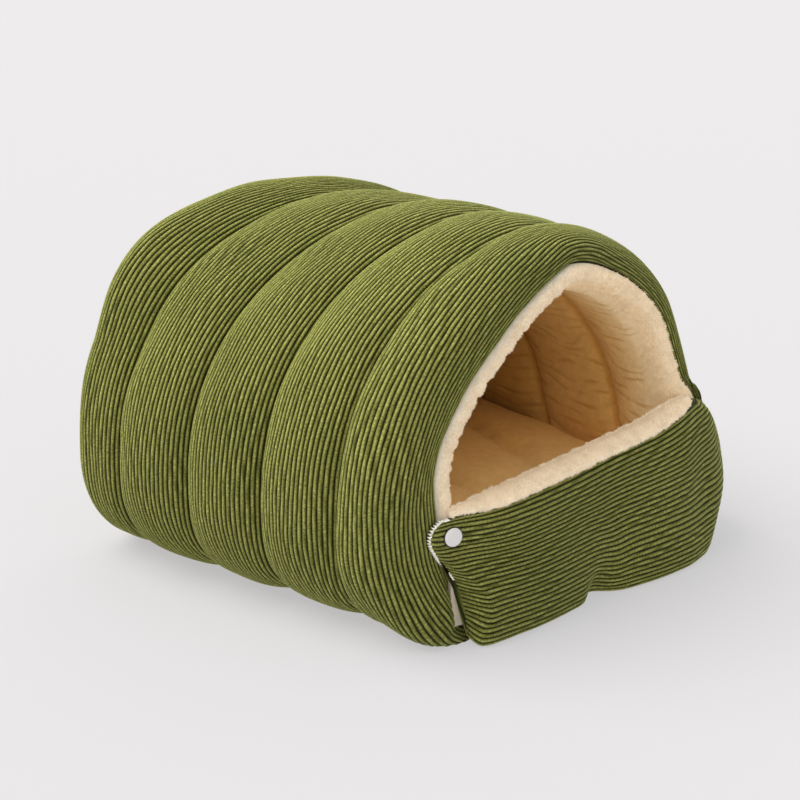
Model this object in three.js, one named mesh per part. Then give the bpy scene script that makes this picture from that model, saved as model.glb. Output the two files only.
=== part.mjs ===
// A padded dog cave bed: a channelled cloth tunnel with a plush inside, a closed back,
// a floor pad, and a front flap whose left top corner is held by a snap.
// Millimetres, +Z up, the mouth faces -Y, and the bed rests on its underside at z = 0.
import * as THREE from 'three';

// Driving dimensions
const clearance = 0.4;
const liningClearance = 1.0;
const channelPitch = 85;
const channelRise = 20;
const roofRise = 15;
const rearChannelRise = 17;
const mouthSeamY = -139;
const rearNoseDepth = 37;
const mouthCrestY = -162;
const mouthNoseDepth = 44;
const noseY = mouthCrestY - mouthNoseDepth;
const mouthTurn = THREE.MathUtils.degToRad(112);
const channelsBetween = 3;
const rearSeamY = mouthSeamY + channelsBetween * channelPitch;
const rearCrestY = rearSeamY + channelPitch / 2;
const grooveHeight = 6;
const baseThickness = 24;
const liningThickness = 5;
const liningRise = 12;
const backSeatY = 160;
const padLength = 328;
const padFrontY = -184;
const padHalfWidth = 160;
const padThickness = 58;
const padMiddleRise = 12;
const padRearRise = 8;
const padMiddleRiseY = [-180, -110];
const padRearRiseY = [-100, 90];
const padSeamX = 60;
const padSeamDrift = 0.26;
const padSeamDriftY = { from: -60, front: -124, back: 80 };
const padSeamDepth = 9;
const flapLiningThickness = 8;
const flapFullness = 23;
const flapTabThickness = 7;
const snapDiameter = 16.6;
const snapThickness = 3;
const snapLift = 1.1;
const snapShareIn = 0.055;
const snapShareUp = 0.87;
const snapSides = 20;

// Points along a half section, from the middle of the floor to the middle of the roof
const floorSteps = 3;
const baseSteps = 6;
const roofSteps = 9;
const halfSteps = floorSteps + baseSteps + roofSteps;

const corduroy = { color: 0x5f7238, roughness: 0.95 };
const plush = { color: 0xe6d3ae, roughness: 1.0 };
const plastic = { color: 0xeeece6, roughness: 0.45 };

// Sections across the tunnel: half is the widest half width, at the height widest, and foot
// is the half width of the flat underside. The powers shape the sides down to it and the roof.
const seamSection = { half: 242, height: 320, widest: 86, foot: 144, floor: grooveHeight,
  dropPower: 2.6, turnPower: 2.8, roofWidthPower: 1.18, roofHeightPower: 0.77 };
const mouthSection = { half: 164, height: 305, widest: 147, foot: 100, floor: 22,
  dropPower: 1.15, turnPower: 4, roofWidthPower: 1.15, roofHeightPower: 1.23 };
const insideSection = { half: 178, height: 298, widest: 125, foot: 146, floor: baseThickness,
  dropPower: 2.8, turnPower: 2.8, roofWidthPower: 1.15, roofHeightPower: 1.0 };

// The tunnel narrows to the front, and its right side is drawn in where the flap pulls on it
const taperPerMm = 0.19 / 242;
const sectionMiddleY = -11;
const rearNarrowing = 0.033;
const rearHeightGain = 0.012;
const rearFullness = 0.2;
const rearLean = 40;
const rearLeanFrom = 200;
const rearLeanPower = 1.5;
const middleSag = 4;
const middleSagY = 50;
const middleSagSpan = 75;
const rightDraw = 0.21;
const rightDrawStartY = -30;

// The channels swell less sideways near the floor, where the weight holds them
const baseShare = 0.3;
const baseDownShare = 0.5;
const baseFade = 95;

// The mouth: it spreads low on the left, is drawn in above, and flares to the flap's right corner
const mouthRightFlare = 13;
const mouthFlareHeight = 140;
const mouthFlareSpread = 22;
const mouthLeftDraw = 9;
const mouthLeftSpread = 8;
const mouthRightDraw = 8;
const mouthRightDrawHeights = [150, 175];
const mouthRightReleaseHeights = [200, 250];
const mouthLeftDrawHeights = [215, 260];
const mouthLeftReleaseHeights = [170, 225];
const mouthLeftBlend = 40;
const lipFlare = 13;
const lipFlareHeight = 162;
const lipFlareBlend = 60;
const lipDraw = 8;
const lipDrawHeights = [190, 240];
const lipPeakPower = 2.1;

// Rows along the tunnel: in each channel, in the half channels at its two ends, and round its two noses
const channelSteps = 5;
const rearCrestSteps = 3;
const mouthCrestSteps = 2;
const mouthNoseSteps = 6;
const rearNoseDegrees = [90, 64, 40, 18];

// The inside widens behind the mouth's edge in straight steps: rows of [y, share of the full width]
const mouthEdgeY = mouthCrestY - mouthNoseDepth * Math.sin(mouthTurn);
const insideRearY = rearCrestY + 22;
const insideRightDraw = 0.12;
const insideRows = [
  [mouthEdgeY, 0],
  [-192, 0.35],
  [-178, 1],
  [-160, 1],
  [mouthSeamY, 1],
  [-112, 1],
  [-75, 1],
  [-35, 1],
  [insideRearY, 1],
];

// The floor pad: its square section, its blunt ends, and the height where the plush beside it thickens
const padTopHeight = baseThickness + padThickness;
const padEase = 40;
const padRows = 12;
const padPoints = 28;
const padSeamSpread = 9;
const padSectionPower = 0.55;
const padEndSharpness = 5;
const padEndPower = 0.4;
const padEndWidth = 0.93;
const padUndersideFullness = 1.1;

// The plush wall's own channels, whose seams slant back with height, and its foot over the floor
const liningSeams = [-126, -9, 108];
const liningPitch = 117;
const liningChannelSteps = 6;
const liningSlant = 0.3;
const liningSlantHeight = 125;
const liningSlantStarts = [-178, -120];
const liningFootSteps = 2;
const liningRearY = rearCrestY - 2.5;

// The rim's rows, from its rounded front: how deep under the wall it starts and how thick it is
const rimRows = [
  { y: -205.8, depth: 5, thickness: 6 },
  { y: -203.5, depth: 2.4, thickness: 15 },
  { y: -192, depth: 0, thickness: 18 },
  { y: -178, depth: 0, thickness: 20 },
  { y: -162, depth: 0, thickness: 20 },
  { y: -148, depth: 0, thickness: 17.5 },
  { y: -135, depth: 0, thickness: 11 },
];

// The back pads
const backMiddleHeight = 140;
const backBelly = 12;
const backCrown = 14;
const backPanelRearY = 190;
const backShares = [0.25, 0.6, 0.85, 0.96, 1];

// The flap, seen from the front: its side edges by share up, and its top edge by share across
const flapLiningLeftX = -176;
const flapLiningRightX = 168;
const flapLiningEase = 50;
const flapSheetGap = 1.2;
const flapBackBend = 170;
const flapBendSpan = 44;
const flapBendDepth = 20;
const flapColumns = 24;
const flapRows = 10;
const flapLeftEdge = [
  [0, -148],
  [0.1, -149],
  [0.25, -150],
  [0.4, -153],
  [0.56, -163],
  [0.74, -178],
  [0.86, -185],
  [0.95, -182],
  [1, -172],
];
const flapRightEdge = [
  [0, 197],
  [0.15, 223],
  [0.32, 240],
  [0.6, 231],
  [0.82, 206],
  [0.95, 183],
  [1, 168],
];
const flapBendStart = [
  [0, 150],
  [0.15, 163],
  [0.35, 173],
  [0.6, 170],
  [0.85, 161],
  [1, 158],
];
const flapTopHeight = [
  [0, 116],
  [0.15, 118],
  [0.4, 124],
  [0.6, 130],
  [0.76, 135],
  [0.89, 144],
  [1, 149],
];

// How full the flap is by share up, with its two lobes, its dimple at the floor and its thin ends
const flapBelly = [
  [0, 0.86],
  [0.04, 1.04],
  [0.15, 1.12],
  [0.4, 1.12],
  [0.7, 0.95],
  [0.92, 0.75],
  [1, 0.5],
];
const flapTabShares = [0.02, 0.2];
const flapTabHeights = [0.35, 0.75];
const flapLobeMiddle = -75;
const flapLobeSpan = 90;
const flapLobeSwell = 0.1;
const flapDimple = { x: 5, depth: 15, halfWidth: 16, height: 26 };
const flapEndRound = 14;
const flapFootRound = 10;
const flapFootRoundTop = 0.3;
const flapTabRound = 3;
const flapEndShare = 0.3;
const flapThinnest = 4;

// The flap's plush: its foot, its tapered ends, and the roll along its top
const flapLiningFoot = 9;
const flapLiningMargin = 0.03;
const flapLiningEndSharpness = 6;
const flapLiningEndShare = 0.35;
const flapRollHeight = 10;
const flapRollReach = 14;
const flapRollLip = 1.5;
const flapRollShoulder = 2.5;

// A Catmull-Rom curve through a short table of [position, value] rows
function through(table, x) {
  let i = 0;
  while (i < table.length - 2 && x > table[i + 1][0]) i += 1;
  const [x1, y1] = table[i];
  const [x2, y2] = table[i + 1];
  const [x0, y0] = table[Math.max(i - 1, 0)];
  const [x3, y3] = table[Math.min(i + 2, table.length - 1)];
  const span = x2 - x1;
  const t = THREE.MathUtils.clamp((x - x1) / span, 0, 1);
  const slope1 = ((y2 - y0) / (x2 - x0)) * span;
  const slope2 = ((y3 - y1) / (x3 - x1)) * span;
  const eased = t * t * (3 - 2 * t);
  const bowed = t * (1 - t);
  return mix(y1, y2, eased) + bowed * ((1 - t) * slope1 - t * slope2);
}

function mix(a, b, t) {
  return a + (b - a) * t;
}

// One point of a half section
function sectionPoint(section, step) {
  const { half, height, widest, foot, floor } = section;
  if (step <= floorSteps) return new THREE.Vector2((foot * step) / floorSteps, floor);
  if (step <= floorSteps + baseSteps) {
    const level = Math.max(Math.cos(((step - floorSteps) / baseSteps) * (Math.PI / 2)), 0);
    const side = (1 - level ** section.dropPower) ** (1 / section.turnPower);
    return new THREE.Vector2(mix(foot, half, side), mix(widest, floor, level));
  }
  const up = ((step - floorSteps - baseSteps) / roofSteps) * (Math.PI / 2);
  const x = half * Math.max(Math.cos(up), 0) ** section.roofWidthPower;
  return new THREE.Vector2(x, widest + (height - widest) * Math.sin(up) ** section.roofHeightPower);
}

// The whole section, right side up and left side down, as [x, z] points
function sectionLoop(section) {
  const right = [];
  for (let step = 0; step <= halfSteps; step += 1) right.push(sectionPoint(section, step));
  const left = right.slice(1, -1).reverse().map((p) => new THREE.Vector2(-p.x, p.y));
  return [...right, ...left];
}

// The outward normal of a loop at its point i
function normalAt(loop, i) {
  const before = loop[(i + loop.length - 1) % loop.length];
  const after = loop[(i + 1) % loop.length];
  return new THREE.Vector2(after.y - before.y, before.x - after.x).normalize();
}

// Moves each point of a loop out along its own normal, less at the roof, where the cloth is
// tight, and less sideways near the floor
function swell(loop, rise) {
  return loop.map((point, i) => {
    const normal = normalAt(loop, i);
    const moved = rise * mix(1, roofRise / channelRise, Math.max(normal.y, 0) ** 2);
    const nearFloor = THREE.MathUtils.smoothstep(point.y, 0, baseFade);
    const sideways = normal.x * moved * mix(baseShare, 1, nearFloor);
    return new THREE.Vector2(point.x + sideways, point.y + normal.y * moved * mix(baseDownShare, 1, nearFloor));
  });
}

function atY(loop, y) {
  return loop.map((p) => new THREE.Vector3(p.x, y, Math.max(p.y, 0)));
}

function blend(loopA, loopB, t) {
  return loopA.map((p, i) => p.clone().lerp(loopB[i], t));
}

// The sewn shell of the tunnel at y, before its channels swell
function shellLoop(y) {
  const fromMiddle = y - sectionMiddleY;
  const wide = 1 + taperPerMm * fromMiddle;
  const rearShare = THREE.MathUtils.smoothstep(y, rearSeamY, rearCrestY);
  const half = seamSection.half * wide * (1 - rearNarrowing * rearShare);
  const sag = middleSag * Math.exp(-(((y - middleSagY) / middleSagSpan) ** 2));
  const height = seamSection.height * (1 + rearHeightGain * rearShare) - sag;
  const roofWidthPower = seamSection.roofWidthPower * (1 - rearFullness * rearShare);
  const section = { ...seamSection, half, height, roofWidthPower, foot: seamSection.foot * wide };
  const drawn = 1 - rightDraw * THREE.MathUtils.smoothstep(-y, -rightDrawStartY, -mouthCrestY);
  const leanHere = rearLean * THREE.MathUtils.clamp(y / rearCrestY, 0, 1) ** rearLeanPower;
  return sectionLoop(section).map((p) => {
    const lean = leanHere * THREE.MathUtils.smoothstep(p.y, rearLeanFrom, seamSection.height);
    return new THREE.Vector2((p.x > 0 ? p.x * drawn : p.x) - lean, p.y);
  });
}

function mouthLoop() {
  const { smoothstep } = THREE.MathUtils;
  return sectionLoop(mouthSection).map(({ x, y: z }) => {
    const near = Math.exp(-(((z - mouthFlareHeight) / mouthFlareSpread) ** 2));
    const release = 1 - smoothstep(z, ...mouthRightReleaseHeights);
    const drawn = mouthRightDraw * smoothstep(z, ...mouthRightDrawHeights) * release;
    const spread = mouthLeftSpread * (1 - smoothstep(z, ...mouthLeftReleaseHeights));
    const right = mouthRightFlare * near - drawn;
    const left = mouthLeftDraw * smoothstep(z, ...mouthLeftDrawHeights) - spread;
    const share = x > 0 ? 1 : THREE.MathUtils.clamp(-x / mouthLeftBlend, 0, 1);
    return new THREE.Vector2(x + share * (x > 0 ? right : left), z);
  });
}

// How far the outside of the mouth's lip stands out to the right, where the flap's corner pulls on it
function lipReach({ x, y: z }) {
  const near = Math.exp(-(((z - lipFlareHeight) / mouthFlareSpread) ** 2));
  const drawn = lipDraw * THREE.MathUtils.smoothstep(z, ...lipDrawHeights);
  return (lipFlare * near - drawn) * THREE.MathUtils.smoothstep(x, 0, lipFlareBlend);
}

// The arc of a filled channel: [distance from its middle, rise over its seams]
function channelArc(width, rise, steps) {
  const radius = (width * width / 4 + rise * rise) / (2 * rise);
  const reach = Math.asin(width / 2 / radius);
  const arc = [];
  for (let i = 0; i <= steps; i += 1) {
    const turn = mix(-reach, reach, i / steps);
    arc.push([radius * Math.sin(turn), radius * Math.cos(turn) - radius + rise]);
  }
  return arc;
}

// Joins rows of points into a closed body. A ring of rows closes on itself, and an open
// run of rows is capped by fans to the middle of its end rows, or across a thin row.
function bodyOf(name, finish, rows, ends) {
  const size = rows[0].length;
  const positions = [];
  const faces = [];
  rows.forEach((row) => row.forEach((p) => positions.push(p.x, p.y, p.z)));
  const joins = ends === 'ring' ? rows.length : rows.length - 1;
  for (let r = 0; r < joins; r += 1) {
    const next = (r + 1) % rows.length;
    for (let i = 0; i < size; i += 1) {
      const a = r * size + i;
      const b = r * size + ((i + 1) % size);
      const c = next * size + i;
      const d = next * size + ((i + 1) % size);
      faces.push(a, b, d, a, d, c);
    }
  }
  if (ends === 'fans') {
    [0, rows.length - 1].forEach((r) => {
      const middle = new THREE.Vector3();
      rows[r].forEach((p) => middle.addScaledVector(p, 1 / size));
      positions.push(middle.x, middle.y, middle.z);
      const centre = positions.length / 3 - 1;
      for (let i = 0; i < size; i += 1) {
        const a = r * size + i;
        const b = r * size + ((i + 1) % size);
        if (r === 0) faces.push(centre, b, a);
        else faces.push(centre, a, b);
      }
    });
  }
  if (ends === 'across') {
    [0, rows.length - 1].forEach((r) => {
      for (let i = 0; i < size / 2 - 1; i += 1) {
        const a = r * size + i;
        const b = a + 1;
        const c = r * size + size - 1 - i;
        const d = c - 1;
        if (r === 0) faces.push(a, c, d, a, d, b);
        else faces.push(a, d, c, a, b, d);
      }
    });
  }
  const geometry = new THREE.BufferGeometry();
  geometry.setAttribute('position', new THREE.Float32BufferAttribute(positions, 3));
  geometry.setIndex(volumeOf(positions, faces) < 0 ? turned(faces) : faces);
  geometry.computeVertexNormals();
  const mesh = new THREE.Mesh(geometry, new THREE.MeshStandardMaterial({ ...finish, metalness: 0 }));
  mesh.name = name;
  return mesh;
}

function volumeOf(positions, faces) {
  let volume = 0;
  const corner = (i) => new THREE.Vector3().fromArray(positions, i * 3);
  for (let f = 0; f < faces.length; f += 3) {
    volume += corner(faces[f]).dot(corner(faces[f + 1]).cross(corner(faces[f + 2]))) / 6;
  }
  return volume;
}

function turned(faces) {
  const other = [];
  for (let f = 0; f < faces.length; f += 3) other.push(faces[f], faces[f + 2], faces[f + 1]);
  return other;
}

// The padded tunnel: channels from the rear to the mouth, a rounded nose, then the inside
function tunnelCover() {
  const rows = [];
  const inside = sectionLoop(insideSection);
  const rearCrest = swell(shellLoop(rearCrestY), rearChannelRise);
  rearNoseDegrees.forEach((degrees) => {
    const turn = THREE.MathUtils.degToRad(degrees);
    const outer = blend(rearCrest, inside, (1 - Math.cos(turn)) / 2);
    rows.push(atY(outer, rearCrestY + rearNoseDepth * Math.sin(turn)));
  });
  const rearHalf = channelArc(channelPitch, rearChannelRise, 2 * rearCrestSteps);
  rearHalf.slice(rearCrestSteps).forEach(([along, rise]) => {
    rows.push(atY(swell(shellLoop(rearCrestY - along), rise), rearCrestY - along));
  });
  for (let k = channelsBetween - 1; k >= 0; k -= 1) {
    const middle = mouthSeamY + (k + 0.5) * channelPitch;
    channelArc(channelPitch, channelRise, channelSteps).slice(1).forEach(([along, rise]) => {
      rows.push(atY(swell(shellLoop(middle - along), rise), middle - along));
    });
  }
  const mouthHalf = channelArc(2 * (mouthSeamY - mouthCrestY), channelRise, 2 * mouthCrestSteps);
  mouthHalf.slice(1, mouthCrestSteps + 1).forEach(([along, rise]) => {
    rows.push(atY(swell(shellLoop(mouthCrestY - along), rise), mouthCrestY - along));
  });
  const mouthCrest = swell(shellLoop(mouthCrestY), channelRise);
  const mouth = mouthLoop();
  for (let i = 1; i <= mouthNoseSteps; i += 1) {
    const turn = (mouthTurn * i) / mouthNoseSteps;
    const inward = (1 - Math.cos(turn)) / (1 - Math.cos(mouthTurn));
    const lip = Math.sin(Math.PI * inward ** lipPeakPower);
    const loop = blend(mouthCrest, mouth, inward);
    loop.forEach((p, k) => { p.x += lip * lipReach(mouth[k]); });
    rows.push(atY(loop, mouthCrestY - mouthNoseDepth * Math.sin(turn)));
  }
  insideRows.slice(1).forEach(([y]) => rows.push(atY(wallLoop(y), y)));
  return bodyOf('tunnel_cover', corduroy, rows, 'ring');
}

function insideDrawn(y) {
  return 1 - insideRightDraw * THREE.MathUtils.smoothstep(-y, -rightDrawStartY, -mouthCrestY);
}

function insideLoop([y, share]) {
  const drawn = insideDrawn(y);
  const full = sectionLoop(insideSection).map((p) => new THREE.Vector2(p.x > 0 ? p.x * drawn : p.x, p.y));
  return blend(mouthLoop(), full, share);
}

// The cover's inner face at y, straight between its rows
function wallLoop(y) {
  let next = 1;
  while (next < insideRows.length - 1 && y > insideRows[next][0]) next += 1;
  const [fromY] = insideRows[next - 1];
  const [toY] = insideRows[next];
  const along = THREE.MathUtils.clamp((y - fromY) / (toY - fromY), 0, 1);
  return blend(insideLoop(insideRows[next - 1]), insideLoop(insideRows[next]), along);
}

// Keeps the arch of a loop: from one foot, over the roof, to the other foot
function archOf(loop) {
  const first = floorSteps + liningFootSteps;
  return loop.slice(first, loop.length - first + 1);
}

// How far back each point of the lining's row at y lies, so that its seams slant with height
function liningPlaces(y) {
  const { smoothstep } = THREE.MathUtils;
  const slants = liningSlant * smoothstep(y, ...liningSlantStarts) * (1 - smoothstep(y, 0, liningRearY));
  return wallLoop(y).map((p) => Math.min(y + slants * (p.y - liningSlantHeight), liningRearY));
}

// The plush on the inside wall. Its own channels lie between its own seams, and it ends at the
// mouth in a rolled rim.
function tunnelLining() {
  const rows = [];
  const addRow = (y, outerDepth, thickness) => {
    const places = liningPlaces(y);
    const wall = places.map((place, i) => wallLoop(place)[i]);
    const outer = offset(wall, -liningClearance - outerDepth);
    const inner = offset(wall, (point) => {
      const raised = THREE.MathUtils.smoothstep(point.y, padTopHeight - padEase, padTopHeight + padEase);
      return -liningClearance - outerDepth - mix(liningThickness, thickness, raised);
    });
    const placed = (loop) => archOf(loop.map((p, i) => new THREE.Vector3(p.x, places[i], p.y)));
    rows.push([...placed(outer), ...placed(inner).reverse()]);
  };
  rimRows.forEach(({ y, depth, thickness }) => addRow(y, depth, thickness));
  liningSeams.forEach((seam, k) => {
    channelArc(liningPitch, liningRise, liningChannelSteps).forEach(([along, rise], i) => {
      const y = seam + liningPitch / 2 + along;
      if ((k === 0 || i > 0) && y < liningRearY) addRow(y, 0, liningThickness + rise);
    });
  });
  addRow(liningRearY, 0, liningThickness + liningRise);
  return bodyOf('tunnel_lining', plush, rows, 'across');
}

function offset(loop, depth) {
  return loop.map((point, i) => {
    const distance = typeof depth === 'number' ? depth : depth(point);
    return point.clone().addScaledVector(normalAt(loop, i), distance);
  });
}

// A crowned pad shaped like the inside section. Each row is the section drawn in to a share
// of its size, and bellied forward and back from its seat.
function backPad(name, finish, frontY, backY, frontBelly, backBelly) {
  const outline = offset(sectionLoop(insideSection), -clearance);
  const rows = [];
  const row = (share, y) => {
    const middle = new THREE.Vector2(0, backMiddleHeight);
    const drawn = outline.map((p) => middle.clone().lerp(p, share));
    rows.push(drawn.map((p) => new THREE.Vector3(p.x, y, p.y)));
  };
  backShares.forEach((share) => row(share, frontY - frontBelly * (1 - share ** 2)));
  [...backShares].reverse().forEach((share) => row(share, backY + backBelly * (1 - share ** 2)));
  return bodyOf(name, finish, rows, 'fans');
}

// The floor pad is fuller towards the back
function padHeight(y) {
  const middle = padMiddleRise * THREE.MathUtils.smoothstep(y, ...padMiddleRiseY);
  return padThickness + middle + padRearRise * THREE.MathUtils.smoothstep(y, ...padRearRiseY);
}

// The floor pad: a crowned cushion with sewn channels along the tunnel, flat where it rests
function floorPad() {
  const rows = [];
  const halfLength = padLength / 2;
  const middleY = padFrontY + halfLength;
  for (let i = 0; i <= padRows; i += 1) {
    const along = -Math.cos((Math.PI * (i + 0.5)) / (padRows + 1));
    const end = (1 - Math.abs(along) ** padEndSharpness) ** padEndPower;
    const y = middleY + halfLength * along;
    const loop = [];
    for (let k = 0; k < padPoints; k += 1) {
      const turn = (2 * Math.PI * (k + 0.5)) / padPoints;
      const side = Math.sign(Math.cos(turn)) * Math.abs(Math.cos(turn)) ** padSectionPower;
      const up = Math.sign(Math.sin(turn)) * Math.abs(Math.sin(turn)) ** padSectionPower;
      const room = side > 0 ? insideDrawn(y) : 1;
      const x = padHalfWidth * mix(padEndWidth, 1, end) * side * room;
      const { from, front, back } = padSeamDriftY;
      const seamX = padSeamX + padSeamDrift * THREE.MathUtils.clamp(y - from, front, back);
      const seam = Math.exp(-(((Math.abs(x) - seamX) / padSeamSpread) ** 2));
      const top = (padHeight(y) / 2) * (1 + up * end) - padSeamDepth * seam * end;
      const underside = (padThickness / 2) * (1 + up * end * padUndersideFullness);
      const height = up > 0 ? top : underside;
      loop.push(new THREE.Vector3(x, y, baseThickness + clearance + Math.max(height, 0)));
    }
    rows.push(loop);
  }
  return bodyOf('floor_pad', plush, rows, 'fans');
}

// The flap's face: a point at a share across (0 left, 1 right) and a share up (0 floor, 1 top)
function flapPoint(across, up) {
  const x = mix(through(flapLeftEdge, up), through(flapRightEdge, up), across);
  return new THREE.Vector2(x, up * through(flapTopHeight, across));
}

// How thick the plush behind the flap is: it thins towards the flap's two ends
function flapLiningDepth(x) {
  const fromEnd = Math.min(x - flapLiningLeftX, flapLiningRightX - x);
  const full = THREE.MathUtils.smoothstep(fromEnd, 0, flapLiningEase);
  return flapLiningThickness * mix(flapEndShare, 1, full);
}

// The back of the flap's face, which bends round the tunnel on the right
function flapFaceY(x, bendStart = flapBackBend) {
  const bend = Math.max(x - bendStart, 0) / flapBendSpan;
  return noseY - clearance - flapSheetGap - flapLiningDepth(x) + flapBendDepth * bend ** 2;
}

// How far the filled flap stands in front of its lining
function flapDepth(across, up) {
  const point = flapPoint(across, up);
  const tab = THREE.MathUtils.smoothstep(up, ...flapTabHeights);
  const thin = mix(flapTabThickness, flapFullness, THREE.MathUtils.smoothstep(across, ...flapTabShares));
  const full = mix(flapFullness, thin, tab);
  const width = through(flapRightEdge, up) - through(flapLeftEdge, up);
  const footRound = flapFootRound * (1 - THREE.MathUtils.smoothstep(up, 0, flapFootRoundTop));
  const turn = mix(flapEndRound + footRound, flapTabRound, across < 0.5 ? tab : 0);
  const fromEnd = Math.min((width * Math.min(across, 1 - across)) / turn, 1);
  const ends = Math.max((1 - (1 - fromEnd) ** 2) ** 0.5, flapEndShare);
  const lobes = 1 + flapLobeSwell * Math.cos(((point.x - flapLobeMiddle) / flapLobeSpan) * Math.PI);
  const fromDimple = (point.x - flapDimple.x) / flapDimple.halfWidth;
  const dimple = flapDimple.depth * Math.exp(-(fromDimple ** 2) - (point.y / flapDimple.height) ** 2);
  return Math.max(full * through(flapBelly, up) * lobes * ends - dimple, flapThinnest);
}

// A point on the flap's outer face
function flapOuterPoint(across, up) {
  const p = flapPoint(across, up);
  const front = flapFaceY(p.x, through(flapBendStart, up)) - flapDepth(across, up);
  return new THREE.Vector3(p.x, Math.min(front, flapFaceY(p.x) - flapThinnest), p.y);
}

function flapPanel() {
  const rows = [];
  for (let i = 0; i <= flapColumns; i += 1) {
    const across = (1 - Math.cos((Math.PI * i) / flapColumns)) / 2;
    const loop = [];
    for (let j = 0; j <= flapRows; j += 1) loop.push(flapOuterPoint(across, j / flapRows));
    for (let j = flapRows; j >= 0; j -= 1) {
      const p = flapPoint(across, j / flapRows);
      loop.push(new THREE.Vector3(p.x, flapFaceY(p.x), p.y));
    }
    rows.push(loop);
  }
  return bodyOf('flap_panel', corduroy, rows, 'across');
}

// The flap's plush: a sheet behind the face whose top rolls forward over the face's edge
function flapLining() {
  const rows = [];
  for (let i = 0; i <= flapColumns; i += 1) {
    const share = i / flapColumns;
    const across = mix(flapLiningMargin, 1 - flapLiningMargin, share);
    const round = (1 - Math.abs(2 * share - 1) ** flapLiningEndSharpness) ** 0.5;
    const taper = Math.max(round, flapLiningEndShare);
    const { x, y: top } = flapPoint(across, 1);
    const roll = flapRollHeight * taper;
    const inner = noseY - clearance;
    const outer = inner - flapLiningDepth(x);
    const tip = outer - Math.min(flapDepth(across, 1 - flapLiningMargin) + 1, flapRollReach) * taper;
    const section = [
      [outer, flapLiningFoot],
      [outer, top / 2],
      [outer, top + liningClearance],
      [tip, top + liningClearance],
      [tip - flapRollLip, top + roll * 0.45],
      [mix(inner, tip, 0.55), top + roll],
      [inner - flapRollShoulder, top + roll * 0.8],
      [inner, top + roll * 0.3],
      [inner, top / 2],
      [inner, flapLiningFoot],
    ];
    rows.push(section.map(([y, z]) => new THREE.Vector3(x, y, z)));
  }
  return bodyOf('flap_lining', plush, rows, 'across');
}

// The flap's outward direction at a point of its outer face, from two steps along it
function flapOutward(across, up, step) {
  const sideways = flapOuterPoint(across + step, up).sub(flapOuterPoint(across - step, up));
  const upwards = flapOuterPoint(across, up + step).sub(flapOuterPoint(across, up - step));
  return sideways.cross(upwards).normalize();
}

// A snap cap: a low dome whose flat back lies on the flap
function snapCap() {
  const radius = snapDiameter / 2;
  const outline = [[0, 0], [0.94, 0], [1, 0.3], [0.93, 0.72], [0.6, 1], [0, 1]];
  const profile = outline.map(([out, along]) => new THREE.Vector2(out * radius, along * snapThickness));
  const material = new THREE.MeshStandardMaterial({ ...plastic, metalness: 0 });
  const mesh = new THREE.Mesh(new THREE.LatheGeometry(profile, snapSides), material);
  mesh.name = 'snap_cap';
  const outward = flapOutward(snapShareIn, snapShareUp, 0.03);
  mesh.quaternion.setFromUnitVectors(new THREE.Vector3(0, 1, 0), outward);
  mesh.position.copy(flapOuterPoint(snapShareIn, snapShareUp)).addScaledVector(outward, snapLift);
  return mesh;
}

const bed = new THREE.Group();
const backPanelFrontY = backSeatY + liningThickness + clearance;
bed.add(tunnelCover(), tunnelLining(), floorPad());
bed.add(backPad('back_lining', plush, backSeatY, backSeatY + liningThickness, backBelly, -backBelly));
bed.add(backPad('back_panel', corduroy, backPanelFrontY, backPanelRearY, backBelly, backCrown));
bed.add(flapPanel(), flapLining(), snapCap());

// The origin is the middle of the bed's footprint
const extent = new THREE.Box3().setFromObject(bed);
bed.position.set(-(extent.min.x + extent.max.x) / 2, -(extent.min.y + extent.max.y) / 2, 0);

export default bed;
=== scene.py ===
# A padded dog cave bed in olive corduroy and cream plush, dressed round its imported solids.
# Sizes are in millimetres in the bed's own frame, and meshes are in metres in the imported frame.
import math

import bpy
import numpy as np
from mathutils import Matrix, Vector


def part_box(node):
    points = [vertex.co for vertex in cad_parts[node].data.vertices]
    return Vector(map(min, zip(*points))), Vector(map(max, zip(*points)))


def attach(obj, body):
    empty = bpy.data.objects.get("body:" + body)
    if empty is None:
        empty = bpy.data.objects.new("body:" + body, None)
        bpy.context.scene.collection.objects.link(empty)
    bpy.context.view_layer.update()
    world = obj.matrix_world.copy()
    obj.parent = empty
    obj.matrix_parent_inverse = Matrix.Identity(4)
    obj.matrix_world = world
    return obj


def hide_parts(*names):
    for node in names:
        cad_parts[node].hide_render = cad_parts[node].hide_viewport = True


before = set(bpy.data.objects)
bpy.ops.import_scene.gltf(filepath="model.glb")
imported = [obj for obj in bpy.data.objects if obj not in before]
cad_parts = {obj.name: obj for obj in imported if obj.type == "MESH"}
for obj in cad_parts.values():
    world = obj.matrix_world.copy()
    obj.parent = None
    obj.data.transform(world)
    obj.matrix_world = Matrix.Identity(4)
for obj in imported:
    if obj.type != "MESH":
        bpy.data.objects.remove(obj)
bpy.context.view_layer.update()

MM = 0.001

# Driving sizes, the same as in the part's source
channel_pitch = 85.0
channel_rise = 20.0
roof_rise = 15.0
rear_channel_rise = 17.0
mouth_seam_y = -139.0
rear_nose_depth = 37.0
mouth_crest_y = -162.0
mouth_nose_depth = 44.0
mouth_turn = math.radians(112)
channels_between = 3
rear_seam_y = mouth_seam_y + channels_between * channel_pitch
rear_crest_y = rear_seam_y + channel_pitch / 2
mouth_edge_y = mouth_crest_y - mouth_nose_depth * math.sin(mouth_turn)
nose_y = mouth_crest_y - mouth_nose_depth
inside_rear_y = rear_crest_y + 22
base_thickness = 24.0
clearance = 0.4
lining_clearance = 0.7
lining_thickness = 5.0
lining_rise = 14.0
back_seat_y = 160.0
back_panel_rear_y = 190.0
pad_thickness = 58.0
pad_front_y = -184.0
pad_length = 328.0
pad_half_width = 160.0
pad_seam_x = 60.0
pad_seam_drift = 0.26
pad_middle_rise = 12.0
pad_rear_rise = 8.0
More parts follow.
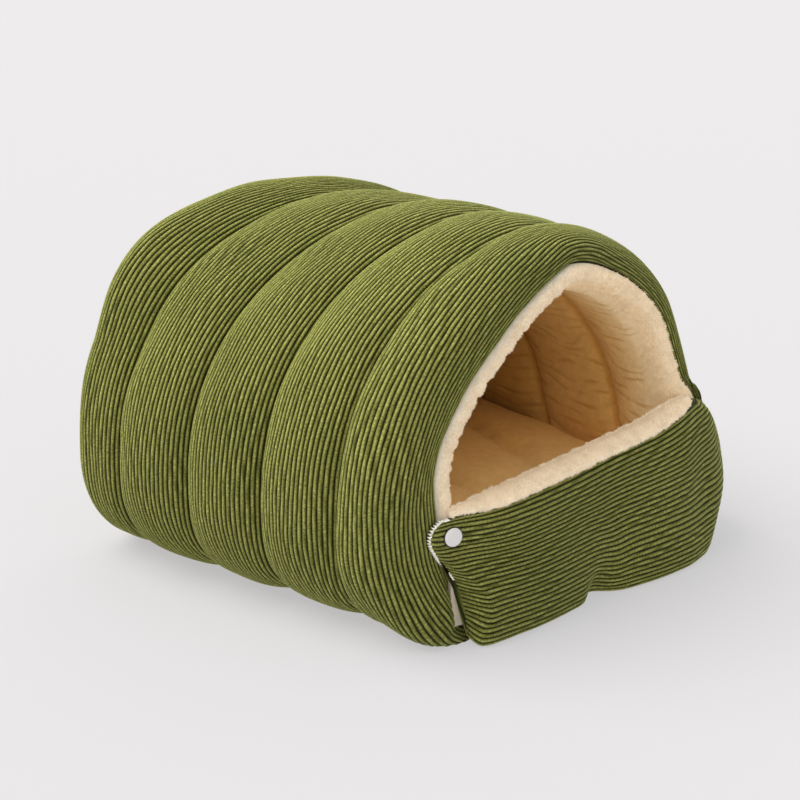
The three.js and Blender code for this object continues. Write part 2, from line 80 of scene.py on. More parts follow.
snap_diameter = 16.6

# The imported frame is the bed's own frame moved along Y
shift_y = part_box("tunnel_cover")[1].y / MM - (rear_crest_y + rear_nose_depth)

# Sections across the tunnel, as in the part's source
seam_section = dict(half=242, height=320, widest=86, foot=144, floor=6, drop_power=2.6, turn_power=2.8,
                    roof_width_power=1.18, roof_height_power=0.77)
mouth_section = dict(half=164, height=305, widest=147, foot=100, floor=22, drop_power=1.15, turn_power=4,
                     roof_width_power=1.15, roof_height_power=1.23)
inside_section = dict(half=178, height=298, widest=125, foot=146, floor=base_thickness, drop_power=2.8,
                      turn_power=2.8, roof_width_power=1.15, roof_height_power=1.0)
taper_per_mm = 0.19 / 242
section_middle_y = -11.0
rear_narrowing = 0.033
rear_height_gain = 0.012
rear_fullness = 0.2
right_draw = 0.21
right_draw_start_y = -30.0
inside_right_draw = 0.12
mouth_right_flare = 13.0
mouth_flare_height = 140.0
mouth_flare_spread = 22.0
lip_peak_power = 2.1
lip_flare = 13.0
lip_flare_height = 162.0
lip_draw = 8.0
mouth_left_draw = 9.0
mouth_left_spread = 8.0
mouth_foot_draw = 7.0
mouth_right_draw = 8.0
mouth_left_draw_heights = (215, 260)
mouth_left_release_heights = (170, 225)
mouth_spread_start_heights = (0, 70)
mouth_foot_heights = (12, 50)
mouth_right_draw_heights = (150, 175)
mouth_right_release_heights = (200, 250)
mouth_low_bulge = 16.0
mouth_low_spread = 7.0
nose_cheek_power = 0.8
mouth_low_droop = 17.0
rear_lean = 40.0
rear_lean_from = 200.0
rear_lean_power = 1.5
base_share = 0.3
base_down_share = 0.5
middle_sag = 4.0
middle_sag_y = 50.0
middle_sag_span = 75.0
base_fade = 95.0
base_points = 24
mouth_apex_x = -12.0
mouth_apex_lift = 4.0
mouth_apex_reach = 55.0

# The corduroy: its wales, from valley to valley
wale_depth = 1.85
wale_samples = np.array([0, 0.13, 0.31, 0.5, 0.69, 0.87])
wale_roundness = 2.2


# Numbers

def mix(a, b, t):
    return a + (b - a) * t


def smoothstep(x, low, high):
    t = np.clip((x - low) / (high - low), 0, 1)
    return t * t * (3 - 2 * t)


def through(table, x):
    """A smooth curve through rows of (position, value)."""
    at, value = np.array(table, float).T
    slope = np.gradient(value, at)
    slope[1:-1] = (value[2:] - value[:-2]) / (at[2:] - at[:-2])
    i = np.clip(np.searchsorted(at, x, side="right") - 1, 0, len(at) - 2)
    span = at[i + 1] - at[i]
    t = np.clip((x - at[i]) / span, 0, 1)
    eased = t * t * (3 - 2 * t)
    bowed = span * t * (1 - t) * ((1 - t) * slope[i] - t * slope[i + 1])
    return mix(value[i], value[i + 1], eased) + bowed


def ripples(a, b, lengths, seed, waves=14):
    """Smooth noise from -1 to 1 over two coordinates, whose waves are about lengths long."""
    rng = np.random.default_rng(seed)
    total = 0
    for _ in range(waves):
        stretch_a, stretch_b = rng.uniform(0.7, 1.6, 2)
        turn = rng.uniform(0, 2 * math.pi)
        lean = rng.choice([-1, 1])
        wave = a / (lengths[0] * stretch_a) + lean * b / (lengths[1] * stretch_b)
        total = total + np.cos(2 * math.pi * wave + turn)
    return total / math.sqrt(waves) / 1.6


# Loops across the tunnel

def even_points(x, z, count):
    """Points at even lengths along a fine line, without its last one."""
    length = np.concatenate([[0], np.cumsum(np.hypot(np.diff(x), np.diff(z)))])
    at = np.linspace(0, length[-1], count, endpoint=False)
    return np.stack([np.interp(at, length, x), np.interp(at, length, z)], -1)


def section_loop(section, fine=1):
    """A whole section, right side up and left side down, as (x, z) points."""
    half, height, widest = section["half"], section["height"], section["widest"]
    foot, floor = section["foot"], section["floor"]
    t = np.linspace(0, 1, 400)
    turn = t * math.pi / 2
    level = np.clip(np.cos(turn), 0, 1)
    side = (1 - level ** section["drop_power"]) ** (1 / section["turn_power"])
    stretches = [
        (t * foot, floor + 0 * t, 8),
        (foot + (half - foot) * side, widest - (widest - floor) * level, base_points),
        (half * level ** section["roof_width_power"],
         widest + (height - widest) * np.sin(turn) ** section["roof_height_power"], 62),
    ]
    right = np.concatenate([even_points(x, z, count * fine) for x, z, count in stretches])
    right = np.concatenate([right, [[0, height]]])
    left = right[1:-1][::-1] * [-1, 1]
    loop = np.concatenate([right, left])
    for _ in range(3 * fine * fine):
        loop = (np.roll(loop, 1, axis=0) + 2 * loop + np.roll(loop, -1, axis=0)) / 4
    return loop


def drawn_in(loop, y, draw):
    """Draws in the right side of a loop towards the mouth, where the flap pulls on it."""
    drawn = 1 - draw * smoothstep(-y, -right_draw_start_y, -mouth_crest_y)
    return loop * np.stack([np.where(loop[:, 0] > 0, drawn, 1), np.ones(len(loop))], -1)


def shell_loop(y):
    """The sewn shell of the tunnel at y, before its channels swell."""
    wide = 1 + taper_per_mm * (y - section_middle_y)
    rear = smoothstep(y, rear_seam_y, rear_crest_y)
    section = dict(seam_section)
    section["half"] = seam_section["half"] * wide * (1 - rear_narrowing * rear)
    sag = middle_sag * math.exp(-(((y - middle_sag_y) / middle_sag_span) ** 2))
    section["height"] = seam_section["height"] * (1 + rear_height_gain * rear) - sag
    section["roof_width_power"] = seam_section["roof_width_power"] * (1 - rear_fullness * rear)
    section["foot"] = seam_section["foot"] * wide
    loop = drawn_in(section_loop(section), y, right_draw)
    up = smoothstep(loop[:, 1], rear_lean_from, seam_section["height"])
    lean = rear_lean * np.clip(y / rear_crest_y, 0, 1) ** rear_lean_power * up
    return loop - np.stack([lean, 0 * lean], -1)


def mouth_loop(fine=1):
    loop = section_loop(mouth_section, fine)
    x, z = loop.T
    near = np.exp(-(((z - mouth_flare_height) / mouth_flare_spread) ** 2))
    spread = (1 - smoothstep(z, *mouth_left_release_heights)) * smoothstep(z, *mouth_spread_start_heights)
    from_left = mouth_left_draw * smoothstep(z, *mouth_left_draw_heights) - mouth_left_spread * spread
    from_left = from_left + mouth_foot_draw * (1 - smoothstep(z, *mouth_foot_heights))
    release = 1 - smoothstep(z, *mouth_right_release_heights)
    drawn = mouth_right_draw * smoothstep(z, *mouth_right_draw_heights) * release
    flared = x + np.where(x > 0, mouth_right_flare * near - drawn, from_left * np.clip(-x / 40, 0, 1))
    peak = np.clip(1 - np.abs(loop[:, 0] - mouth_apex_x) / mouth_apex_reach, 0, 1)
    lifted = loop[:, 1] + mouth_apex_lift * peak * (loop[:, 1] > mouth_section["widest"])
    return np.stack([flared, lifted], -1)


def mouth_flare(loop):
    """How far the lip's outside stands out to the right, where the flap's corner pulls on it."""
    near = np.exp(-(((loop[:, 1] - lip_flare_height) / mouth_flare_spread) ** 2))
    drawn = lip_draw * smoothstep(loop[:, 1], 190, 240)
    return (lip_flare * near - drawn) * smoothstep(loop[:, 0], 0, 60)


# The inside wall's rows: y and the share of the full inside width there
inside_rows = np.array([
    (mouth_edge_y, 0),
    (-192, 0.35),
    (-178, 1),
    (-160, 1),
    (mouth_seam_y, 1),
    (-112, 1),
    (-75, 1),
    (-35, 1),
    (inside_rear_y, 1),
])


def inside_loop(y, share, fine):
    full = drawn_in(section_loop(inside_section, fine), y, inside_right_draw)
    return mix(mouth_loop(fine), full, share)


def wall_loop(y, fine=1):
    """The cover's inner face at y, straight between its rows."""
    i = int(np.clip(np.searchsorted(inside_rows[:, 0], y) - 1, 0, len(inside_rows) - 2))
    (from_y, from_share), (to_y, to_share) = inside_rows[i], inside_rows[i + 1]
    along = np.clip((y - from_y) / (to_y - from_y), 0, 1)
    return mix(inside_loop(from_y, from_share, fine), inside_loop(to_y, to_share, fine), along)


def outward(loops):
    """The outward normals of closed loops of (x, z) points."""
    along = np.roll(loops, -1, axis=-2) - np.roll(loops, 1, axis=-2)
    normal = np.stack([along[..., 1], -along[..., 0]], -1)
    return normal / np.linalg.norm(normal, axis=-1, keepdims=True)


def swell(loops, rise):
    """Moves loops out along their normals, less at the roof, where the cloth is tight, and at the base."""
    normal = outward(loops)
    share = mix(1, roof_rise / channel_rise, np.maximum(normal[..., 1], 0) ** 2)
    near_floor = mix(base_share, 1, smoothstep(loops[..., 1], 0, base_fade))
    near_floor_down = mix(base_down_share, 1, smoothstep(loops[..., 1], 0, base_fade))
    moved = np.asarray(rise)[..., None] * share
    return loops + normal * np.stack([near_floor * moved, near_floor_down * moved], -1)


def standing(loops, y):
    """Loops stood at their places along the tunnel, none of them below the floor."""
    x = loops[..., 0]
    across = np.broadcast_to(np.asarray(y, float)[:, None], x.shape)
    return np.stack([x, across, np.maximum(loops[..., 1], 0)], -1)


# Meshes

def grid_faces(rows, columns, rows_close, columns_close):
    r = np.arange(rows if rows_close else rows - 1)[:, None]
    c = np.arange(columns if columns_close else columns - 1)[None, :]
    r2 = (r + 1) % rows
    c2 = (c + 1) % columns
    corners = [r * columns + c, r * columns + c2, r2 * columns + c2, r2 * columns + c]
    return np.stack(corners, -1).reshape(-1, 4)


def volume_of(points, faces):
    a, b, c, d = (points[faces[:, k]] for k in range(4))
    first = np.einsum("ij,ij->i", a, np.cross(b, c))
    second = np.einsum("ij,ij->i", a, np.cross(c, d))
    return (first.sum() + second.sum()) / 6


def grid_normals(points, rows_close, columns_close):
    """The normals of a grid of points, rows first, turned to point out of its middle."""
    def along(axis, close):
        if close:
            return np.roll(points, -1, axis) - np.roll(points, 1, axis)
        return np.gradient(points, axis=axis)

    normal = np.cross(along(0, rows_close), along(1, columns_close))
    normal /= np.maximum(np.linalg.norm(normal, axis=-1, keepdims=True), 1e-9)
    return normal


def solid_from_grid(name, points, material, columns_close=True, fields=None):
    """A closed body from a grid whose rows close on themselves.

    Where the columns don't close, a fan to its middle caps each end column."""
    rows, columns = points.shape[:2]
    faces = grid_faces(rows, columns, True, columns_close)
    flat = points.reshape(-1, 3)
    caps = []
    if not columns_close:
        middles = np.array([points[:, 0].mean(0), points[:, -1].mean(0)])
        ring = np.arange(rows) * columns
        after = np.roll(ring, -1)
        first, last = len(flat), len(flat) + 1
        flat = np.concatenate([flat, middles])
        caps = [(first, a, b) for a, b in zip(ring, after)]
        caps += [(last, b + columns - 1, a + columns - 1) for a, b in zip(ring, after)]
    if volume_of(flat, faces) < 0:
        faces = faces[:, ::-1]
        caps = [cap[::-1] for cap in caps]
    mesh = bpy.data.meshes.new(name)
    placed = (flat + [0, shift_y, 0]) * MM
    mesh.from_pydata(placed.tolist(), [], faces.tolist() + [list(map(int, cap)) for cap in caps])
    for field, values in (fields or {}).items():
        spare = len(flat) - rows * columns
        values = np.asarray(values, np.float32)
        width = values.shape[-1] if values.ndim == 3 else 1
        values = values.reshape(rows * columns, width)
        values = np.concatenate([values, np.zeros((spare, width), np.float32)])
        kind, key = ("FLOAT", "value") if width == 1 else ("FLOAT_VECTOR", "vector")
        attribute = mesh.attributes.new(field, kind, "POINT")
        attribute.data.foreach_set(key, values.ravel())
    mesh.materials.append(material)
    mesh.shade_smooth()
    mesh.update()
    piece = bpy.data.objects.new(name, mesh)
    bpy.context.collection.objects.link(piece)
    return piece


def running_length(points, axis):
    steps = np.linalg.norm(np.diff(points, axis=axis), axis=-1)
    start = np.zeros_like(np.take(steps, [0], axis=axis))
    return np.concatenate([start, np.cumsum(steps, axis=axis)], axis=axis)


# Materials

def new_material(name):
    material = bpy.data.materials.new(name)
    material.use_nodes = True
    nodes = material.node_tree.nodes
    links = material.node_tree.links
    return material, nodes, links, nodes["Principled BSDF"]


def noise(nodes, links, vector, scale, detail=2.0, roughness=0.5):
    node = nodes.new("ShaderNodeTexNoise")
    node.inputs["Scale"].default_value = scale
    node.inputs["Detail"].default_value = detail
    node.inputs["Roughness"].default_value = roughness
    links.new(vector, node.inputs["Vector"])
    return node.outputs["Fac"]


def ramp(nodes, links, factor, stops):
    node = nodes.new("ShaderNodeValToRGB")
    elements = node.color_ramp.elements
    for element, (at, colour) in zip(elements, (stops[0], stops[-1])):
        element.position = at
        element.color = (*colour, 1)
    for at, colour in stops[1:-1]:
        elements.new(at).color = (*colour, 1)
    links.new(factor, node.inputs["Fac"])
    return node.outputs["Color"]


def math_node(nodes, links, operation, a, b=None):
    node = nodes.new("ShaderNodeMath")
    node.operation = operation
    for socket, value in zip(node.inputs, (a, b)):
        if value is None:
            continue
        if isinstance(value, (int, float)):
            socket.default_value = value
        else:
            links.new(value, socket)
    return node.outputs["Value"]


def mix_colour(nodes, links, factor, a, b, blend="MIX"):
    node = nodes.new("ShaderNodeMix")
    node.data_type = "RGBA"
    node.blend_type = blend
    for socket, value in ((node.inputs[0], factor), (node.inputs[6], a), (node.inputs[7], b)):
        if isinstance(value, float):
            socket.default_value = value
        elif isinstance(value, tuple):
            socket.default_value = (*value, 1)
        else:
            links.new(value, socket)
    return node.outputs[2]


def field(nodes, name):
    node = nodes.new("ShaderNodeAttribute")
    node.attribute_type = "GEOMETRY"
    node.attribute_name = name
    return node


def scaled(nodes, links, vector, scale):
    node = nodes.new("ShaderNodeMapping")
    node.inputs["Scale"].default_value = scale
    links.new(vector, node.inputs["Vector"])
    return node.outputs["Vector"]


def corduroy_material():
    """Olive corduroy: painted shade, near black, in the valleys between the wales and a painted highlight on
    their crests.
    """
    material, nodes, links, shader = new_material("corduroy")
    crest = field(nodes, "crest").outputs["Fac"]
    weave = field(nodes, "weave").outputs["Vector"]
    place = nodes.new("ShaderNodeTexCoord").outputs["Object"]
    # Painted shade and highlight: the crest ramp paints the valleys near black and the crests bright.
    cloth = ramp(nodes, links, crest, [
        (0.0, (0.006, 0.007, 0.001)),
        (0.35, (0.037, 0.041, 0.006)),
        (0.7, (0.168, 0.178, 0.036)),
        (1.0, (0.325, 0.332, 0.095)),
    ])
    broad = noise(nodes, links, place, 9.0, 3.0)
    shade = ramp(nodes, links, broad, [(0.3, (0.86, 0.88, 0.84)), (0.7, (1.1, 1.08, 1.12))])
    cloth = mix_colour(nodes, links, 1.0, cloth, shade, "MULTIPLY")
    tufts = noise(nodes, links, scaled(nodes, links, weave, (1.6, 0.62, 1)), 1.0, 3.0, 0.75)
    flecks = ramp(nodes, links, tufts, [
        (0.32, (0.42, 0.44, 0.38)),
        (0.5, (0.93, 0.93, 0.9)),
        (0.7, (1.75, 1.7, 1.8)),
    ])
    cloth = mix_colour(nodes, links, 1.0, cloth, flecks, "MULTIPLY")
    links.new(cloth, shader.inputs["Base Color"])
    shader.inputs["Roughness"].default_value = 0.92
    shader.inputs["Specular IOR Level"].default_value = 0.12
    shader.inputs["Sheen Weight"].default_value = 0.35
    shader.inputs["Sheen Roughness"].default_value = 0.45
    shader.inputs["Sheen Tint"].default_value = (0.62, 0.68, 0.34, 1)
    fibre = noise(nodes, links, place, 900.0, 2.0, 0.7)
    height = math_node(nodes, links, "ADD", math_node(nodes, links, "MULTIPLY", fibre, 0.5), tufts)
    bump = nodes.new("ShaderNodeBump")
    bump.inputs["Strength"].default_value = 0.55
    bump.inputs["Distance"].default_value = 0.0006
    links.new(height, bump.inputs["Height"])
    links.new(bump.outputs["Normal"], shader.inputs["Normal"])
    return material


def plush_material():
    """Cream plush: a short nap that takes the light at its edges, with painted warm shade deeper in the cave,
    painted shade in its creases and a faint painted glow.
    """
    material, nodes, links, shader = new_material("plush")
    place = nodes.new("ShaderNodeTexCoord").outputs["Object"]
    nap = noise(nodes, links, place, 420.0, 4.0, 0.65)
    clumps = noise(nodes, links, place, 95.0, 3.0, 0.6)
    cream = ramp(nodes, links, nap, [
        (0.25, (0.87, 0.74, 0.55)),
        (0.6, (0.94, 0.83, 0.66)),
        (0.85, (0.97, 0.89, 0.75)),
    ])
    # Painted shade: the plush darkens to a warm brown deeper in the cave, standing in for shade and light
    # bounced inside it.
    inside = field(nodes, "inside").outputs["Fac"]
    cave_shade_tint = ramp(nodes, links, inside, [
        (0.0, (1.0, 1.0, 1.0)),
        (0.22, (1.0, 0.88, 0.62)),
        (0.45, (1.0, 0.78, 0.42)),
        (0.66, (1.0, 0.74, 0.33)),
        (1.0, (0.76, 0.53, 0.18)),
    ])
    cream = mix_colour(nodes, links, 1.0, cream, cave_shade_tint, "MULTIPLY")
    # Painted shade: darker cream along the lining's folds and seams.
    crease_shade = field(nodes, "crease_shade").outputs["Fac"]
    crease_shade_tint = ramp(nodes, links, crease_shade, [(0.0, (1, 1, 1)), (1.0, (0.8, 0.7, 0.54))])
    cream = mix_colour(nodes, links, 1.0, cream, crease_shade_tint, "MULTIPLY")
    tone = ramp(nodes, links, clumps, [(0.3, (0.93, 0.92, 0.90)), (0.7, (1.05, 1.05, 1.06))])
    cream = mix_colour(nodes, links, 1.0, cream, tone, "MULTIPLY")
    links.new(cream, shader.inputs["Base Color"])
    # Painted glow: the plush emits a little of its own colour, most at the mouth and none deep in the cave,
    # standing in for light scattered in the pile.
    links.new(cream, shader.inputs["Emission Color"])
    painted_glow = math_node(nodes, links, "MULTIPLY_ADD", inside, -0.1)
    painted_glow.node.inputs[2].default_value = 0.1
    links.new(painted_glow, shader.inputs["Emission Strength"])
    shader.inputs["Roughness"].default_value = 1.0
    shader.inputs["Specular IOR Level"].default_value = 0.05
    shader.inputs["Sheen Weight"].default_value = 0.15
    shader.inputs["Sheen Roughness"].default_value = 0.5
    shader.inputs["Sheen Tint"].default_value = (1.0, 0.93, 0.8, 1)
    height = math_node(nodes, links, "ADD", nap, math_node(nodes, links, "MULTIPLY", clumps, 1.5))
    bump = nodes.new("ShaderNodeBump")
    bump.inputs["Strength"].default_value = 0.6
    bump.inputs["Distance"].default_value = 0.001
    links.new(height, bump.inputs["Height"])
    links.new(bump.outputs["Normal"], shader.inputs["Normal"])
    return material


def plain_material(name, light, dark, roughness, scale):
    """A moulded or spun finish: one colour with a faint mottle and a fine grain."""
    material, nodes, links, shader = new_material(name)
    place = nodes.new("ShaderNodeTexCoord").outputs["Object"]
    grain = noise(nodes, links, place, scale, 3.0)
    links.new(ramp(nodes, links, grain, [(0.3, dark), (0.7, light)]), shader.inputs["Base Color"])
    shader.inputs["Roughness"].default_value = roughness
    bump = nodes.new("ShaderNodeBump")
    bump.inputs["Strength"].default_value = 0.15
    bump.inputs["Distance"].default_value = 0.0002
    links.new(grain, bump.inputs["Height"])
    links.new(bump.outputs["Normal"], shader.inputs["Normal"])
    return material


corduroy = corduroy_material()
plush = plush_material()
snap_white = plain_material("snap_white", (0.86, 0.84, 0.82), (0.8, 0.78, 0.76), 0.38, 300.0)
# Painted shadow: a near-black finish for the ring that stands in for the shadow round the snap's cap.
painted_snap_shadow = plain_material("painted_snap_shadow", (0.02, 0.018, 0.012), (0.01, 0.01, 0.008), 0.6, 500.0)
thread_white = plain_material("thread_white", (0.93, 0.91, 0.85), (0.86, 0.83, 0.75), 0.85, 1500.0)
# Painted glow: the thread emits a little light, so it shows brighter than the lamps alone make it.
thread_white.node_tree.nodes["Principled BSDF"].inputs["Emission Color"].default_value = (0.9, 0.88, 0.8, 1)
thread_white.node_tree.nodes["Principled BSDF"].inputs["Emission Strength"].default_value = 0.25


# The camera looks at the bed as the photograph does

camera_azimuth = math.radians(-43)
camera_elevation = math.radians(18)
camera_distance = 1620.0
camera_look_at = np.array([-14.9, 7.3, 135.3])
focal_pixels = 1650.0
picture_pixels = 800.0


def add_camera():
    data = bpy.data.cameras.new("camera")
    data.sensor_width = 36.0
    data.lens = data.sensor_width * focal_pixels / picture_pixels
    back = np.array([
        math.sin(camera_azimuth) * math.cos(camera_elevation),
        -math.cos(camera_azimuth) * math.cos(camera_elevation),
        math.sin(camera_elevation),
    ])
    camera = bpy.data.objects.new("camera", data)
    camera.location = (camera_look_at + [0, shift_y, 0] + back * camera_distance) * MM
    camera.rotation_euler = (math.pi / 2 - camera_elevation, 0, camera_azimuth)
    bpy.context.collection.objects.link(camera)
    bpy.context.scene.camera = camera


add_camera()


# The tunnel's filled channels

def waled(macro, wales, seed, columns_close=True, wander_by=0.7, lumps_by=1.0):
    """Cuts wales into a grid of points that runs across them: (points, crest, weave)."""
    length = running_length(macro, 0)
    phase = np.concatenate([w + wale_samples for w in range(wales)] + [[wales]])
    share = (phase / wales)[:, None]
    beside = running_length(macro[len(macro) // 2][None], 1)[0]
    beside = np.broadcast_to(beside, (len(phase), macro.shape[1]))
    across = share * length[-1].mean()
    seam_fade = np.minimum(1, 6 * np.minimum(share, 1 - share))
    wander = wander_by * ripples(beside, across, (150, 60), seed)
    wander = wander + 0.3 * wander_by * ripples(beside, across, (28, 17), seed + 1)
    at = share * length[-1] + wander * seam_fade
    points = np.empty((len(phase), macro.shape[1], 3))
    for c in range(macro.shape[1]):
        for k in range(3):
            points[:, c, k] = np.interp(at[:, c], length[:, c], macro[:, c, k])
    normal = grid_normals(points, False, columns_close)
    middle = points.mean((0, 1))
    if np.einsum("ijk,ijk->", normal, points - middle) < 0:
        normal = -normal
    crest = 1 - np.abs(2 * (phase % 1) - 1)[:, None] ** wale_roundness
    fullness = 0.9 + 0.2 * ripples(beside, across, (22, 11), seed + 2)
    lumps = lumps_by * ripples(beside, across, (120, 75), seed + 3) * seam_fade
    relief = -wale_depth * (1 - crest) * fullness + lumps
    points = points + normal * relief[..., None]
    points[..., 2] = np.maximum(points[..., 2], 0)
    crest = crest * np.clip(0.9 + 0.25 * ripples(beside, across, (35, 9), seed + 4), 0, 1)
    weave = np.stack([np.broadcast_to(phase[:, None], beside.shape), beside, 0 * beside], -1)
    return points, crest, weave


def finish_channel(name, macro, wales, inner_y, seed):
    points, crest, weave = waled(macro, wales, seed)
    inner = standing(np.array([wall_loop(y) for y in inner_y]), inner_y)
    crest = np.concatenate([crest, np.zeros(inner.shape[:2])])
    weave = np.concatenate([weave, np.zeros(inner.shape)])
    points = np.concatenate([points, inner])
    piece = solid_from_grid(name, points, corduroy, fields={"crest": crest, "weave": weave})
    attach(piece, "root")
    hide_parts("tunnel_cover")
    return piece


def middle_channel(k):
    middle = mouth_seam_y + (k + 0.5) * channel_pitch
    turn = np.linspace(math.pi / 2, -math.pi / 2, 61)
    y = middle + channel_pitch / 2 * np.sin(turn)
    loops = np.array([shell_loop(at) for at in y])
    macro = standing(swell(loops, channel_rise * np.cos(turn)), y)
    name = f"tunnel_channel_{channels_between - k + 1}"
    return finish_channel(name, macro, 22, [y[-1], middle, y[0]], seed=20 + 7 * k)


def rear_channel():
    turn = np.linspace(0, math.pi / 2, 31)
    y = rear_seam_y + channel_pitch / 2 * (1 - np.cos(turn))
    loops = np.array([shell_loop(at) for at in y])
    front = standing(swell(loops, rear_channel_rise * np.sin(turn)), y)
    crest = swell(shell_loop(rear_crest_y)[None], [rear_channel_rise])[0]
    inside = section_loop(inside_section)
    turn = np.linspace(0, math.pi, 61)[1:]
    y = np.where(turn < math.pi / 2, rear_crest_y, inside_rear_y)
    y = y + np.where(turn < math.pi / 2, rear_nose_depth, rear_nose_depth - 22) * np.sin(turn)
    nose = standing(np.array([mix(crest, inside, (1 - math.cos(a)) / 2) for a in turn]), y)
    macro = np.concatenate([front, nose])
    return finish_channel("tunnel_channel_1", macro, 38, [inside_rear_y - 20, rear_seam_y], seed=11)


def mouth_channel():
    turn = np.linspace(0, math.pi / 2, 25)
    half_width = mouth_seam_y - mouth_crest_y
    y = mouth_seam_y - half_width * (1 - np.cos(turn))
    loops = np.array([shell_loop(at) for at in y])
    rear = standing(swell(loops, channel_rise * np.sin(turn)), y)
    crest = swell(shell_loop(mouth_crest_y)[None], [channel_rise])[0]
    turn = np.linspace(0, mouth_turn, 61)[1:]
    y = mouth_crest_y - mouth_nose_depth * np.sin(turn)
    inward = (1 - np.cos(turn)) / (1 - math.cos(mouth_turn))
    nose = standing(np.array([mix(crest, mouth_loop(), share) for share in inward]), y)
    lip = np.sin(math.pi * inward ** lip_peak_power)[:, None]
    nose[..., 0] += lip * mouth_flare(mouth_loop())
    cheek = np.sin(math.pi * inward ** nose_cheek_power)[:, None]
    low = np.maximum(lip, cheek) * (1 - smoothstep(nose[..., 2], 15, 85))
    at_floor = 1 - smoothstep(nose[..., 2], 8, 28)
    from_edge = smoothstep(-nose[..., 0], mix(146, 122, at_floor), mix(166, 142, at_floor))
    nose[..., 1] -= mouth_low_bulge * low * from_edge
    nose[..., 0] -= mouth_low_spread * low * smoothstep(-nose[..., 0], 150, 195)
    nose[..., 2] -= mouth_low_droop * low * smoothstep(-nose[..., 0], 118, 150)
    macro = np.concatenate([rear, nose])
    return finish_channel("tunnel_channel_5", macro, 26, [-192, -178, mouth_seam_y], seed=71)


rear_channel()
for channel in reversed(range(channels_between)):
    middle_channel(channel)
mouth_channel()


# The plush inside wall, from behind the mouth's edge round its rolled rim to the back

# The rim's path: y and how far inside the wall
rim_path = [
    (-150, 0.7),
    (-192, 0.7),
    (-201, 1.0),
    (-205, 2.4),
    (-206.8, 5.5),
    (-206.4, 10.5),
    (-203.8, 15.0),
    (-199, 17.2),
    (-190, 18.8),
    (-178, 20.5),
    (-165, 21.0),
    (-152, 19.4),
    (-142, 16.0),
    (-133, 11.0),
    (-128, 7.5),
]
lining_fine = 3
lining_seams = [-126.0, -9.0, 108.0, 225.0]
lining_lean = 0.3
lining_lean_height = 125.0
lining_foot_height = 31.0
pad_top_height = base_thickness + pad_thickness
pad_ease = 30.0


def rounded_path(path, step):
    """A smooth line through a short path, with a point every step."""
    path = np.array(path, float)
    place = np.arange(len(path))
    fine = np.linspace(0, len(path) - 1, 40 * len(path))
    line = np.stack([through(np.stack([place, path[:, k]], -1), fine) for k in range(2)], -1)
    length = running_length(line, 0)
    at = np.linspace(0, length[-1], int(length[-1] / step) + 1)
    return np.stack([np.interp(at, length, line[:, k]) for k in range(2)], -1)


wall_ys = np.arange(math.floor(mouth_edge_y) - 4, inside_rear_y + 1, 1.0)
wall_loops = np.array([wall_loop(y, lining_fine) for y in wall_ys])


def wall_at(y):
    """The wall's points at a place along the tunnel of their own each: y is rows by points."""
    at = np.clip(y - wall_ys[0], 0, len(wall_ys) - 1.001)
    row = at.astype(int)
    part = (at - row)[..., None]
    point = np.broadcast_to(np.arange(y.shape[1]), y.shape)
    return mix(wall_loops[row, point], wall_loops[row + 1, point], part)


